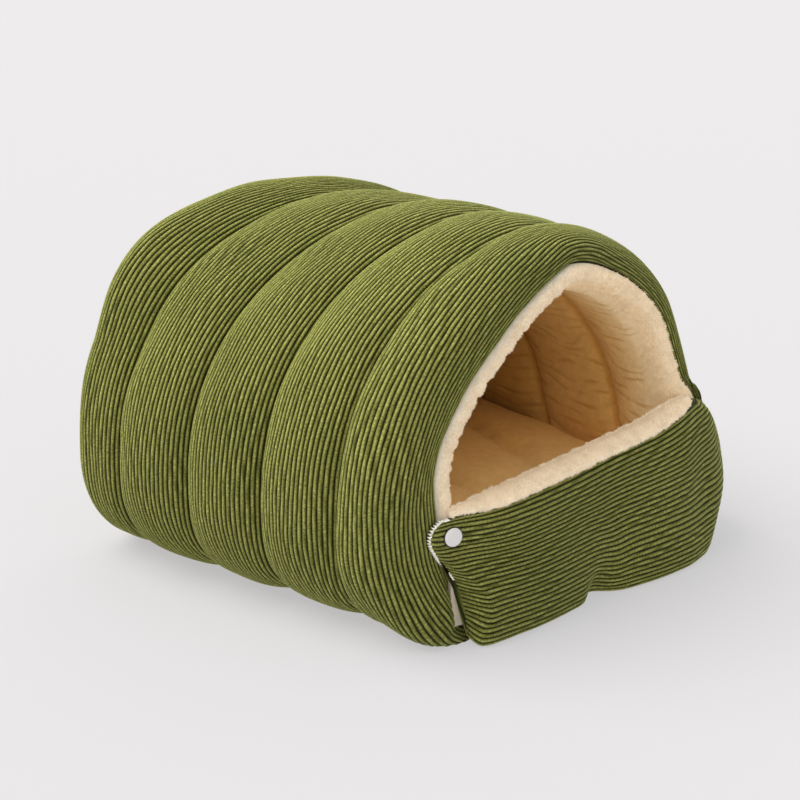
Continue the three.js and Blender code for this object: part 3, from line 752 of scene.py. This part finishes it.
def tunnel_lining():
    rim = rounded_path(rim_path, 1.7)
    seat = lining_clearance + lining_thickness
    rows = [rim]
    for start, stop in zip(lining_seams, lining_seams[1:]):
        middle, half = (start + stop) / 2, (stop - start) / 2
        turn = np.linspace(-math.pi / 2, math.pi / 2, 34)[1:]
        y = middle + half * np.sin(turn)
        rows.append(np.stack([y, seat + lining_rise * np.cos(turn)], -1)[y < rear_crest_y])
    behind = [(y, lining_clearance) for y in (rear_crest_y, 60, 0, -30, -50, -70, -85, -100, -115, -130)]
    path = np.concatenate(rows + [np.array(behind)])
    shows = path[:, 1] > 3
    y = path[:, :1] + np.zeros(wall_loops.shape[1])
    upright = wall_at(y)[..., 1]
    leans = smoothstep(path[:, 0], -178, -120) * (1 - smoothstep(path[:, 0], 0, rear_crest_y)) * shows
    y = y + lining_lean * (upright - lining_lean_height) * leans[:, None]
    y = np.minimum(y, rear_crest_y)
    loops = wall_at(y)
    normal = outward(loops)
    raised = smoothstep(loops[..., 1], pad_top_height - pad_ease, pad_top_height + pad_ease)
    depth = path[:, 1][:, None]
    depth = np.minimum(depth, seat) + np.maximum(depth - seat, 0) * raised
    inside = section_loop(inside_section, lining_fine)
    foot = int(np.argmax(inside[:, 1] > lining_foot_height))
    keep = slice(foot, loops.shape[1] - foot + 1)
    inner = (loops - normal * depth[..., None])[:, keep]
    points = np.stack([inner[..., 0], y[:, keep], inner[..., 1]], -1)
    beside = running_length(points[:1], 1)[0]
    beside = np.broadcast_to(beside, points.shape[:2])
    along = np.broadcast_to(path[:, :1], points.shape[:2])
    face = grid_normals(points, True, False)
    into_cave = points.mean((0, 1)) - points
    if np.einsum("ijk,ijk->", face[len(rim):-12], into_cave[len(rim):-12]) < 0:
        face = -face
    hidden = depth[:, keep] < 3
    seam_at = np.min([np.abs(along - seam) for seam in lining_seams], 0)
    puff = smoothstep(seam_at, 0, 40) * smoothstep(along, -200, -170)
    wrinkle = np.cos(2 * math.pi * (beside + 5 * puff + 6 * ripples(beside, along, (60, 80), 3)) / 13)
    strength = 0.45 + 0.8 * ripples(beside, along, (34, 50), 5)
    folds = -2.3 * np.maximum(wrinkle, 0) ** 2.5 * np.clip(strength, 0, 1) * smoothstep(along, -195, -160)
    tucks = -1.2 * np.exp(-seam_at / 9) * np.maximum(np.cos(2 * math.pi * beside / 13 + 1), 0) ** 2
    clumps = 0.25 * ripples(beside, along, (9, 8), 6, 30) + 0.15 * ripples(beside, along, (5, 4), 7, 30)
    at_left = 1 - smoothstep(points[..., 0], -30, 30)
    at_rim = smoothstep(-along, mix(186, 150, at_left), mix(200, 175, at_left)) * (depth[:, keep] > 3)
    ragged = 1.3 * ripples(beside, along, (17, 60), 8, 24) + 0.5 * ripples(beside, along, (7, 30), 9, 24)
    relief = np.where(hidden, 0, folds + tucks + clumps + at_rim * ragged)
    points = points + face * relief[..., None]
    pile = at_rim * (depth[:, keep] > 2)
    # Painted shade: how far the plush darkens to warm brown, from the mouth back into the cave, less on the
    # right towards the mouth.
    cave_shade = smoothstep(y[:, keep], mix(-222, -206, at_left), mix(-105, -60, at_left))
    cave_shade = cave_shade * mix(0.66, 1, np.maximum(at_left, smoothstep(y[:, keep], -60, 30)))
    # Painted shade: the plush darkens along the folds' valleys and in a line along each seam.
    crease_shade = np.maximum(wrinkle, 0) ** 2.5 * np.clip(strength, 0, 1)
    crease_shade = crease_shade * smoothstep(along, -200, -170) * raised[:, keep]
    crease_shade = np.maximum(crease_shade, 1.2 * np.exp(-((seam_at / 3.5) ** 2))) * (along > -190)
    fields = {"pile": pile, "inside": cave_shade * (depth[:, keep] > 3), "crease_shade": crease_shade * (depth[:, keep] > 3)}
    piece = solid_from_grid("tunnel_lining_plush", points, plush, columns_close=False, fields=fields)
    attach(piece, "root")
    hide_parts("tunnel_lining")
    return piece


lining = tunnel_lining()


# The floor pad and the back

def floor_pad():
    rows, columns = 90, 150
    half_length = pad_length / 2
    along = -np.cos(math.pi * (np.arange(rows) + 0.5) / rows)[:, None]
    end = (1 - np.abs(along) ** 5) ** 0.4
    turn = 2 * math.pi * (np.arange(columns) + 0.5) / columns
    side = np.sign(np.cos(turn)) * np.abs(np.cos(turn)) ** 0.55
    up = np.sign(np.sin(turn)) * np.abs(np.sin(turn)) ** 0.55
    y = pad_front_y + half_length * (1 + along) + 0 * side
    drawn = 1 - inside_right_draw * smoothstep(-y, -right_draw_start_y, -mouth_crest_y)
    x = pad_half_width * mix(0.93, 1, end) * side * np.where(side > 0, drawn, 1)
    from_seam = np.abs(np.abs(x) - (pad_seam_x + pad_seam_drift * np.clip(y + 60, -124, 80)))
    seam = np.exp(-((from_seam / 10) ** 2)) + 0.45 * np.exp(-((from_seam / 2.5) ** 2))
    middle_rise = pad_middle_rise * smoothstep(y, -180, -110)
    thick = pad_thickness + middle_rise + pad_rear_rise * smoothstep(y, -100, 90)
    top = thick / 2 * (1 + up * end) - 9 * seam * end
    under = pad_thickness / 2 * (1 + 1.1 * up * end)
    soft = 0.9 * ripples(x, y, (70, 60), 31) + 0.3 * ripples(x, y, (12, 10), 32, 30)
    z = base_thickness + clearance + np.maximum(np.where(up > 0, top + soft * end, under), 0)
    points = np.stack([x, y, z], -1).transpose(1, 0, 2)
    # Painted shade: the pad darkens to warm brown towards the rear of the cave.
    cave_shade = np.broadcast_to(mix(0.45, 1.0, smoothstep(y, -160, 60)), (rows, columns)).transpose(1, 0)
    piece = solid_from_grid("floor_pad_plush", points, plush, columns_close=False, fields={"inside": cave_shade})
    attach(piece, "root")
    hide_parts("floor_pad")


def back_outline():
    loop = section_loop(inside_section)
    return loop - outward(loop) * clearance


back_middle = np.array([0.0, 140.0])


def back_lining():
    """The plush inside of the back, bellied towards the mouth."""
    outline = back_outline()
    shares = np.sin(np.linspace(0.02, 1, 30) * math.pi / 2)
    front = np.array([mix(back_middle, outline, share) for share in shares])
    belly = 12 * (1 - shares ** 2)
    soft = 0.8 * ripples(front[..., 0], front[..., 1], (60, 50), 41)
    soft = soft * (1 - shares ** 4)[:, None]
    faces = np.stack([front[..., 0], back_seat_y - belly[:, None] + soft, front[..., 1]], -1)
    rear_y = back_seat_y + lining_thickness - belly[::-1, None]
    rear = np.stack([front[::-1, :, 0], rear_y + 0 * soft, front[::-1, :, 1]], -1)
    points = np.concatenate([faces, rear]).transpose(1, 0, 2)
    # Painted shade: the back's plush takes the full warm brown of the deep cave.
    cave_shade = np.ones(points.shape[:2])
    piece = solid_from_grid("back_lining_plush", points, plush, columns_close=False, fields={"inside": cave_shade})
    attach(piece, "root")
    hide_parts("back_lining")


def back_panel():
    """The corduroy outside of the back: upright wales on a crowned D."""
    outline = back_outline()
    right = outline[: len(outline) // 2 + 1]
    wales = 66
    half = right[:, 0].max() - 0.6
    phase = np.concatenate([w + wale_samples for w in range(wales)] + [[wales]])
    x = mix(-half, half, phase / wales)
    widest = int(np.argmax(right[:, 0]))
    low = np.interp(np.abs(x), right[: widest + 1, 0], right[: widest + 1, 1])
    high = np.interp(np.abs(x), right[widest:, 0][::-1], right[widest:, 1][::-1])
    share = np.linspace(0, 1, 40)[:, None]
    z = mix(low, high, (1 - np.cos(math.pi * share)) / 2)
    edge_z = np.where(z > back_middle[1], high - back_middle[1], back_middle[1] - low)
    radial = np.maximum(np.abs(x) / half, np.abs(z - back_middle[1]) / np.maximum(edge_z, 1))
    crown = 14 * (1 - np.clip(radial, 0, 1) ** 2.2)
    crest = 1 - np.abs(2 * (phase % 1) - 1) ** wale_roundness
    soft = 1.2 * ripples(x + 0 * z, z, (70, 90), 51) * (1 - radial ** 4)
    y = back_panel_rear_y + crown - wale_depth * (1 - crest) + soft
    rear = np.stack([x + 0 * z, y, z], -1)
    front_y = back_seat_y + lining_thickness + clearance - 12 * (1 - radial ** 2)
    front = np.stack([x + 0 * z, front_y, z], -1)[::-1]
    points = np.concatenate([rear, front])
    crest = np.broadcast_to(crest, z.shape)
    weave = np.stack([np.broadcast_to(phase, z.shape), z, 0 * z], -1)
    fields = {"crest": np.concatenate([crest, crest]), "weave": np.concatenate([weave, weave[::-1]])}
    piece = solid_from_grid("back_panel_corduroy", points, corduroy, columns_close=False, fields=fields)
    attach(piece, "root")
    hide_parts("back_panel")


floor_pad()
back_lining()
back_panel()


# The flap across the front

flap_lining_left_x = -176.0
flap_lining_right_x = 168.0
flap_sheet_gap = 1.2
flap_back_bend = 170.0
flap_bend_span = 44.0
flap_thinnest = 1.5
flap_bend_depth = 20.0
flap_fullness = 23.0
flap_tab_thickness = 7.0
flap_lining_thickness = 8.0
flap_left_edge = [(0, -144), (0.1, -145), (0.25, -148), (0.4, -153), (0.56, -163), (0.74, -178), (0.86, -185),
                  (0.95, -182), (1, -172)]
flap_right_edge = [(0, 197), (0.15, 223), (0.32, 240), (0.6, 231), (0.82, 206), (0.95, 183), (1, 168)]
flap_bend_start = [(0, 150), (0.15, 163), (0.35, 173), (0.6, 170), (0.85, 161), (1, 158)]
flap_top_height = [(0, 116), (0.15, 118), (0.4, 124), (0.6, 130), (0.76, 135), (0.89, 144), (1, 149)]
flap_belly = [(0, 1.06), (0.04, 1.16), (0.15, 1.18), (0.4, 1.12), (0.7, 0.95), (0.92, 0.75), (1, 0.5)]
flap_kick = 9.0
flap_left_lift = 9.0
flap_cheek = 15.0
flap_cheek_reach = 0.13
flap_low_left_round = 17.0
flap_lining_foot = 13.0
flap_lining_foot_draw = 6.0
flap_end_round = 14.0
flap_foot_round = 4.0
flap_tab_round = 3.0
flap_lobe_middle = -75.0
flap_lobe_span = 90.0
flap_dimple = dict(x=5.0, depth=15.0, half_width=16.0, height=26.0)
flap_columns = 300
flap_wales = 30


def flap_point(across, up):
    x = mix(through(flap_left_edge, up), through(flap_right_edge, up), across)
    z = up * through(flap_top_height, across)
    lift = 0.4 * (1 - smoothstep(across, 0, 0.03)) + 1 - smoothstep(1 - across, 0, 0.09)
    return x, z + flap_left_lift * lift * (1 - np.clip(up / 0.3, 0, 1)) ** 2


def flap_lining_depth(x):
    from_end = np.minimum(x - flap_lining_left_x, flap_lining_right_x - x)
    return flap_lining_thickness * mix(0.3, 1, smoothstep(from_end, 0, 50))


def flap_face_y(x, bend_start=flap_back_bend):
    bend = np.maximum(x - bend_start, 0) / flap_bend_span
    return nose_y - clearance - flap_sheet_gap - flap_lining_depth(x) + flap_bend_depth * bend ** 2


def flap_depth(across, up):
    x, z = flap_point(across, up)
    tab = smoothstep(up, 0.35, 0.75)
    thin = mix(flap_tab_thickness, flap_fullness, smoothstep(across, 0.02, 0.2))
    full = mix(flap_fullness, thin, tab)
    width = through(flap_right_edge, up) - through(flap_left_edge, up)
    from_end = width * np.minimum(across, 1 - across)
    foot = 1 - smoothstep(up, 0.05, 0.42)
    end_round = np.where(across < 0.5, mix(flap_end_round, flap_low_left_round, foot), flap_end_round)
    foot_round = flap_foot_round * (1 - smoothstep(up, 0, 0.3))
    turn = mix(end_round + foot_round, flap_tab_round, tab * (across < 0.5))
    ends = np.maximum((1 - (1 - np.clip(from_end / turn, 0, 1)) ** 2) ** 0.5, 0.15)
    lobes = 1 + 0.1 * np.cos((x - flap_lobe_middle) / flap_lobe_span * math.pi)
    from_dimple = (x - flap_dimple["x"]) / flap_dimple["half_width"]
    dimple = flap_dimple["depth"] * np.exp(-(from_dimple ** 2) - (z / flap_dimple["height"]) ** 2)
    kick = flap_kick * smoothstep(x, -40, 80) * (1 - smoothstep(x, 150, 215)) * (1 - smoothstep(up, 0, 0.5))
    return np.maximum(full * through(flap_belly, up) * lobes * ends + kick - dimple, flap_thinnest)


def flap_outer_point(across, up):
    x, z = flap_point(across, up)
    depth = flap_depth(across, up)
    front = flap_face_y(x, through(flap_bend_start, up)) - depth
    near_left = 1 - smoothstep(across, 0, flap_cheek_reach)
    cheek = flap_cheek * near_left * (1 - smoothstep(up, 0.02, 0.32)) * np.minimum(depth / flap_fullness, 1)
    return np.stack([x - cheek, np.minimum(front, flap_face_y(x) - flap_thinnest), z], -1)


def flap_panel():
    even = np.linspace(0, 1, flap_columns)[None, :]
    across = mix(even, (1 - np.cos(math.pi * even)) / 2, 0.6)
    up = np.linspace(1, 0, 90)[:, None]
    face = flap_outer_point(across + 0 * up, up + 0 * across)
    points, crest, weave = waled(face, flap_wales, 81, columns_close=False, wander_by=0.5, lumps_by=0.8)
    back_up = np.array([0, 0.3, 0.7, 1.0])[:, None]
    back_x, back_z = flap_point(across + 0 * back_up, back_up + 0 * across)
    back = np.stack([back_x, flap_face_y(back_x), back_z], -1)
    points = np.concatenate([points, back])
    crest = np.concatenate([crest, np.full(back_x.shape, 0.6)])
    weave = np.concatenate([weave, np.zeros(back.shape)])
    fields = {"crest": crest, "weave": weave}
    piece = solid_from_grid("flap_corduroy", points, corduroy, columns_close=False, fields=fields)
    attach(piece, "root")
    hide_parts("flap_panel")


def flap_lining():
    share = np.linspace(0, 1, 260)
    across = mix(0.03, 0.97, share)
    taper = np.maximum((1 - np.abs(2 * share - 1) ** 6) ** 0.5, 0.35)
    x, top = flap_point(across, 1 + 0 * across)
    roll = 10 * taper
    inner = nose_y - clearance + 0 * x
    outer = inner - flap_lining_depth(x)
    reach = np.minimum(flap_depth(across, 0.97 + 0 * across) + 1, 14) * taper
    tip = outer - reach
    section = [
        (outer, flap_lining_foot + 0 * x),
        (outer, top * 0.5),
        (outer, top + 0.7),
        (tip, top + 0.7),
        (tip - 1.5, top + roll * 0.45),
        (mix(inner, tip, 0.55), top + roll),
        (inner - 2.5, top + roll * 0.8),
        (inner, top + roll * 0.3),
        (inner, top * 0.5),
        (inner, flap_lining_foot + 0 * x),
    ]
    place = np.arange(len(section))
    fine = np.linspace(2, 7, 34)
    def line(k):
        values = np.array([point[k] for point in section])
        curves = [np.stack([place, values[:, c]], -1) for c in range(len(x))]
        return np.array([[through(curve, at) for curve in curves] for at in fine])
    y, z = line(0), line(1)
    low_y = np.stack([outer, inner])
    low_z = np.full((2, len(x)), flap_lining_foot)
    y = np.concatenate([low_y[:1], y, low_y[1:]])
    z = np.concatenate([low_z[:1], z, low_z[1:]])
    points = np.stack([x + 0 * y, y, z], -1)
    points[[0, -1], :, 0] += flap_lining_foot_draw * (1 - smoothstep(x, -162, -110))
    face = grid_normals(points, True, False)
    middle = points.mean(0, keepdims=True)
    if np.einsum("ijk,ijk->", face, points - middle) < 0:
        face = -face
    around = np.broadcast_to(np.arange(len(points))[:, None], points.shape[:2]) * 1.2
    showing = np.ones(points.shape[:2])
    showing[:2] = 0
    showing[-2:] = 0
    soft = 0.5 * ripples(points[..., 0], around, (14, 20), 61, 24)
    soft = soft + 0.35 * ripples(points[..., 0], around, (5, 6), 62, 24)
    points = points + face * (soft * showing)[..., None]
    piece = solid_from_grid("flap_lining_plush", points, plush, columns_close=False, fields={"pile": showing})
    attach(piece, "root")
    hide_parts("flap_lining")
    return piece


flap_panel()
flap_roll = flap_lining()


# The snap on the tab

snap_share_in = 0.055
snap_share_up = 0.87


def snap_frame():
    """The snap's seat on the flap, and its outward, sideways and upward directions."""
    step = 0.03
    steps = [(0, 0), (-step, 0), (step, 0), (0, -step), (0, step)]
    at = [(snap_share_in + sideways, snap_share_up + upwards) for sideways, upwards in steps]
    seat, left, right, down, up = (flap_outer_point(np.float64(a), np.float64(b)) for a, b in at)
    out = np.cross(right - left, up - down)
    out /= np.linalg.norm(out)
    side = np.cross([0, 0, 1], out)
    side /= np.linalg.norm(side)
    return seat, out, side, np.cross(out, side)


def turned_piece(name, profile, material, steps=48):
    """A body turned round the snap's axis from a profile of (radius, height) points."""
    seat, out, side, up = snap_frame()
    turn = np.arange(steps) * 2 * math.pi / steps
    around = np.cos(turn)[:, None] * side + np.sin(turn)[:, None] * up
    profile = np.array(profile)
    points = seat + around[:, None, :] * profile[None, :, :1] + out * profile[None, :, 1:]
    piece = solid_from_grid(name, points, material, columns_close=False)
    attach(piece, "root")
    return piece


def snap():
    radius = snap_diameter / 2
    turn = np.linspace(0, math.pi / 2, 12)
    dome = [(0.35 * radius, 0.6), (0.97 * radius, 0.6), (radius, 1.2)]
    dome += [(radius * (0.72 + 0.27 * math.cos(a)), 1.5 + 1.9 * math.sin(a)) for a in turn[1:]]
    crown = 0.35
    rim_drop = crown * (1 - 0.72 ** 2)
    dome += [(radius * share, 3.4 + crown * (1 - share ** 2) - rim_drop) for share in (0.5, 0.25, 0.04)]
    cap = turned_piece("snap_cap_white", dome, snap_white)
    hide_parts("snap_cap")
    # Painted shadow: a near-black ring round the cap's rim stands in for the shadow line where the cap
    # presses into the cloth.
    ring_turn = np.arange(12) * 2 * math.pi / 12
    ring = [(radius + 0.35 + 0.55 * math.cos(a), 0.9 + 0.6 * math.sin(a)) for a in ring_turn]
    seat, out, side, up = snap_frame()
    steps = 48
    turn = np.arange(steps) * 2 * math.pi / steps
    around = np.cos(turn)[:, None] * side + np.sin(turn)[:, None] * up
    ring = np.array(ring)
    points = seat + around[None] * ring[:, None, :1] + out * ring[:, None, 1:]
    piece = solid_from_grid("snap_shadow_ring", points, painted_snap_shadow)
    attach(piece, "root")


snap()


# What repeats: the plush's pile and the overlock stitches

def socket_id(tree, name):
    inputs = (item for item in tree.interface.items_tree if item.in_out == "INPUT")
    return next(item.identifier for item in inputs if item.name == name)


def pile_tree():
    """Short tufts over a surface, as thick as its pile field says."""
    tree = bpy.data.node_groups.new("pile", "GeometryNodeTree")
    sockets = [("Geometry", "NodeSocketGeometry"), ("Density", "NodeSocketFloat"),
               ("Length", "NodeSocketFloat"), ("Width", "NodeSocketFloat"), ("Tilt", "NodeSocketFloat"), ("Seed", "NodeSocketInt"),
               ("Material", "NodeSocketMaterial")]
    for name, kind in sockets:
        tree.interface.new_socket(name, in_out="INPUT", socket_type=kind)
    tree.interface.new_socket("Geometry", in_out="OUTPUT", socket_type="NodeSocketGeometry")
    nodes, links = tree.nodes, tree.links
    given = nodes.new("NodeGroupInput")
    result = nodes.new("NodeGroupOutput")
    mask = nodes.new("GeometryNodeInputNamedAttribute")
    mask.data_type = "FLOAT"
    mask.inputs["Name"].default_value = "pile"
    density = nodes.new("ShaderNodeMath")
    density.operation = "MULTIPLY"
    links.new(mask.outputs["Attribute"], density.inputs[0])
    links.new(given.outputs["Density"], density.inputs[1])
    spread = nodes.new("GeometryNodeDistributePointsOnFaces")
    links.new(given.outputs["Geometry"], spread.inputs["Mesh"])
    links.new(density.outputs[0], spread.inputs["Density"])
    links.new(given.outputs["Seed"], spread.inputs["Seed"])
    tuft = nodes.new("GeometryNodeMeshCone")
    tuft.inputs["Vertices"].default_value = 3
    tuft.inputs["Radius Top"].default_value = 0.0
    links.new(given.outputs["Width"], tuft.inputs["Radius Bottom"])
    links.new(given.outputs["Length"], tuft.inputs["Depth"])
    lean = nodes.new("FunctionNodeRandomValue")
    lean.data_type = "FLOAT_VECTOR"
    lean.inputs["Min"].default_value = (-1, -1, -1)
    lean.inputs["Max"].default_value = (1, 1, 1)
    links.new(given.outputs["Seed"], lean.inputs["Seed"])
    leaned = nodes.new("ShaderNodeVectorMath")
    leaned.operation = "SCALE"
    links.new(lean.outputs[0], leaned.inputs[0])
    links.new(given.outputs["Tilt"], leaned.inputs["Scale"])
    direction = nodes.new("ShaderNodeVectorMath")
    direction.operation = "ADD"
    links.new(spread.outputs["Normal"], direction.inputs[0])
    links.new(leaned.outputs[0], direction.inputs[1])
    align = nodes.new("FunctionNodeAlignEulerToVector")
    align.axis = "Z"
    links.new(direction.outputs[0], align.inputs["Vector"])
    size = nodes.new("FunctionNodeRandomValue")
    size.data_type = "FLOAT"
    size.inputs[2].default_value = 0.6
    size.inputs[3].default_value = 1.25
    links.new(given.outputs["Seed"], size.inputs["Seed"])
    place = nodes.new("GeometryNodeInstanceOnPoints")
    links.new(spread.outputs["Points"], place.inputs["Points"])
    links.new(tuft.outputs["Mesh"], place.inputs["Instance"])
    links.new(align.outputs[0], place.inputs["Rotation"])
    links.new(size.outputs[1], place.inputs["Scale"])
    real = nodes.new("GeometryNodeRealizeInstances")
    links.new(place.outputs["Instances"], real.inputs["Geometry"])
    finish = nodes.new("GeometryNodeSetMaterial")
    links.new(real.outputs["Geometry"], finish.inputs["Geometry"])
    links.new(given.outputs["Material"], finish.inputs["Material"])
    links.new(finish.outputs["Geometry"], result.inputs["Geometry"])
    return tree


def grown(name, source, tree, settings):
    """A plain mesh object of what a tree makes from source's mesh."""
    holder = bpy.data.objects.new(f"{name}_holder", source)
    bpy.context.collection.objects.link(holder)
    modifier = holder.modifiers.new(name, "NODES")
    modifier.node_group = tree
    for key, value in settings.items():
        modifier[socket_id(tree, key)] = value
    depsgraph = bpy.context.evaluated_depsgraph_get()
    mesh = bpy.data.meshes.new_from_object(holder.evaluated_get(depsgraph))
    holder.modifiers.remove(modifier)
    bpy.data.objects.remove(holder)
    mesh.name = name
    piece = bpy.data.objects.new(name, mesh)
    bpy.context.collection.objects.link(piece)
    return piece


pile = pile_tree()
pile_settings = {"Length": 0.0018, "Width": 0.00045, "Tilt": 0.45, "Material": plush}
rim_pile = grown("rim_pile", lining.data, pile, {**pile_settings, "Density": 900000.0, "Seed": 5})
flap_pile = grown("flap_pile", flap_roll.data, pile, {**pile_settings, "Density": 900000.0, "Seed": 9})
for piece in (rim_pile, flap_pile):
    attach(piece, "root")
    print(piece.name, len(piece.data.polygons))


def stitch_tree():
    """A thin thread, swept as a tube along a line of vertices, that wraps round an edge where the line does.
    """
    tree = bpy.data.node_groups.new("stitches", "GeometryNodeTree")
    for name, kind in (("Geometry", "NodeSocketGeometry"), ("Thickness", "NodeSocketFloat"),
                       ("Material", "NodeSocketMaterial")):
        tree.interface.new_socket(name, in_out="INPUT", socket_type=kind)
    tree.interface.new_socket("Geometry", in_out="OUTPUT", socket_type="NodeSocketGeometry")
    nodes, links = tree.nodes, tree.links
    given = nodes.new("NodeGroupInput")
    result = nodes.new("NodeGroupOutput")
    curve = nodes.new("GeometryNodeMeshToCurve")
    links.new(given.outputs["Geometry"], curve.inputs["Mesh"])
    thread = nodes.new("GeometryNodeCurvePrimitiveCircle")
    thread.inputs["Resolution"].default_value = 6
    links.new(given.outputs["Thickness"], thread.inputs["Radius"])
    tube = nodes.new("GeometryNodeCurveToMesh")
    links.new(curve.outputs["Curve"], tube.inputs["Curve"])
    links.new(thread.outputs["Curve"], tube.inputs["Profile Curve"])
    tube.inputs["Fill Caps"].default_value = True
    real = nodes.new("GeometryNodeRealizeInstances")
    links.new(tube.outputs["Mesh"], real.inputs["Geometry"])
    finish = nodes.new("GeometryNodeSetMaterial")
    links.new(real.outputs["Geometry"], finish.inputs["Geometry"])
    links.new(given.outputs["Material"], finish.inputs["Material"])
    links.new(finish.outputs["Geometry"], result.inputs["Geometry"])
    return tree


def overlock():
    """The white overlock thread round the tab's cut edge."""
    ups = np.linspace(0.52, 1, 60)
    left = np.array([flap_outer_point(np.float64(0), np.float64(up)) for up in ups])
    tops = np.linspace(0, 0.02, 6)[1:]
    top = np.array([flap_outer_point(np.float64(a), np.float64(1)) for a in tops])
    edge = np.concatenate([left, top])
    length = running_length(edge, 0)
    zigzag = np.arange(0, length[-1], 0.7)
    line = np.stack([np.interp(zigzag, length, edge[:, k]) for k in range(3)], -1)
    inner = np.stack([np.interp(zigzag, length, (edge + [1.9, 0, -0.4])[:, k]) for k in range(3)], -1)
    swing = (np.arange(len(zigzag)) % 4)
    front = np.array([0, -0.5, 0])
    behind = np.array([0, 3.0, 0])
    choices = [inner + front, line + front * 1.4, line + behind, line + front * 1.4]
    points = np.select([swing[:, None] == k for k in range(4)], choices)
    mesh = bpy.data.meshes.new("overlock_path")
    edges = [(i, i + 1) for i in range(len(points) - 1)]
    mesh.from_pydata(((points + [0, shift_y, 0]) * MM).tolist(), edges, [])
    tree = stitch_tree()
    piece = grown("overlock_stitches", mesh, tree, {"Thickness": 0.00065, "Material": thread_white})
    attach(piece, "root")


overlock()


# The floor and the light

def add_floor():
    mesh = bpy.data.meshes.new("floor")
    side = 12.0
    corners = [(-side, -side, 0), (side, -side, 0), (side, side, 0), (-side, side, 0)]
    mesh.from_pydata(corners, [], [(0, 1, 2, 3)])
    material, nodes, links, shader = new_material("floor_paint")
    shader.inputs["Base Color"].default_value = (0.2, 0.196, 0.2, 1)
    shader.inputs["Emission Color"].default_value = (1.0, 0.985, 0.995, 1)
    shader.inputs["Emission Strength"].default_value = 0.475
    shader.inputs["Roughness"].default_value = 0.9
    shader.inputs["Specular IOR Level"].default_value = 0.1
    mesh.materials.append(material)
    floor = bpy.data.objects.new("floor", mesh)
    bpy.context.collection.objects.link(floor)


def add_sun(name, strength, spread, from_direction, colour=(1, 1, 1)):
    data = bpy.data.lights.new(name, "SUN")
    data.energy = strength
    data.angle = math.radians(spread)
    data.color = colour
    sun = bpy.data.objects.new(name, data)
    x, y, z = from_direction
    level = math.hypot(x, y)
    sun.rotation_euler = (math.atan2(level, z), 0, math.atan2(x, -y))
    bpy.context.collection.objects.link(sun)


def add_light():
    world = bpy.data.worlds.new("studio")
    world.use_nodes = True
    background = world.node_tree.nodes["Background"]
    background.inputs["Color"].default_value = (0.97, 0.98, 1.0, 1)
    background.inputs["Strength"].default_value = 0.6
    bpy.context.scene.world = world
    add_sun("key", 3.65, 50, (-0.5, 0.6, 1.1), (1.0, 0.98, 0.94))
    add_sun("side", 0.85, 60, (0.7, 0.5, 0.9), (1.0, 0.98, 0.95))
    add_sun("fill", 0.4, 70, (-1.0, -0.55, 0.4), (1.0, 0.98, 0.95))


add_floor()
add_light()
bpy.context.scene.view_settings.view_transform = "Standard"
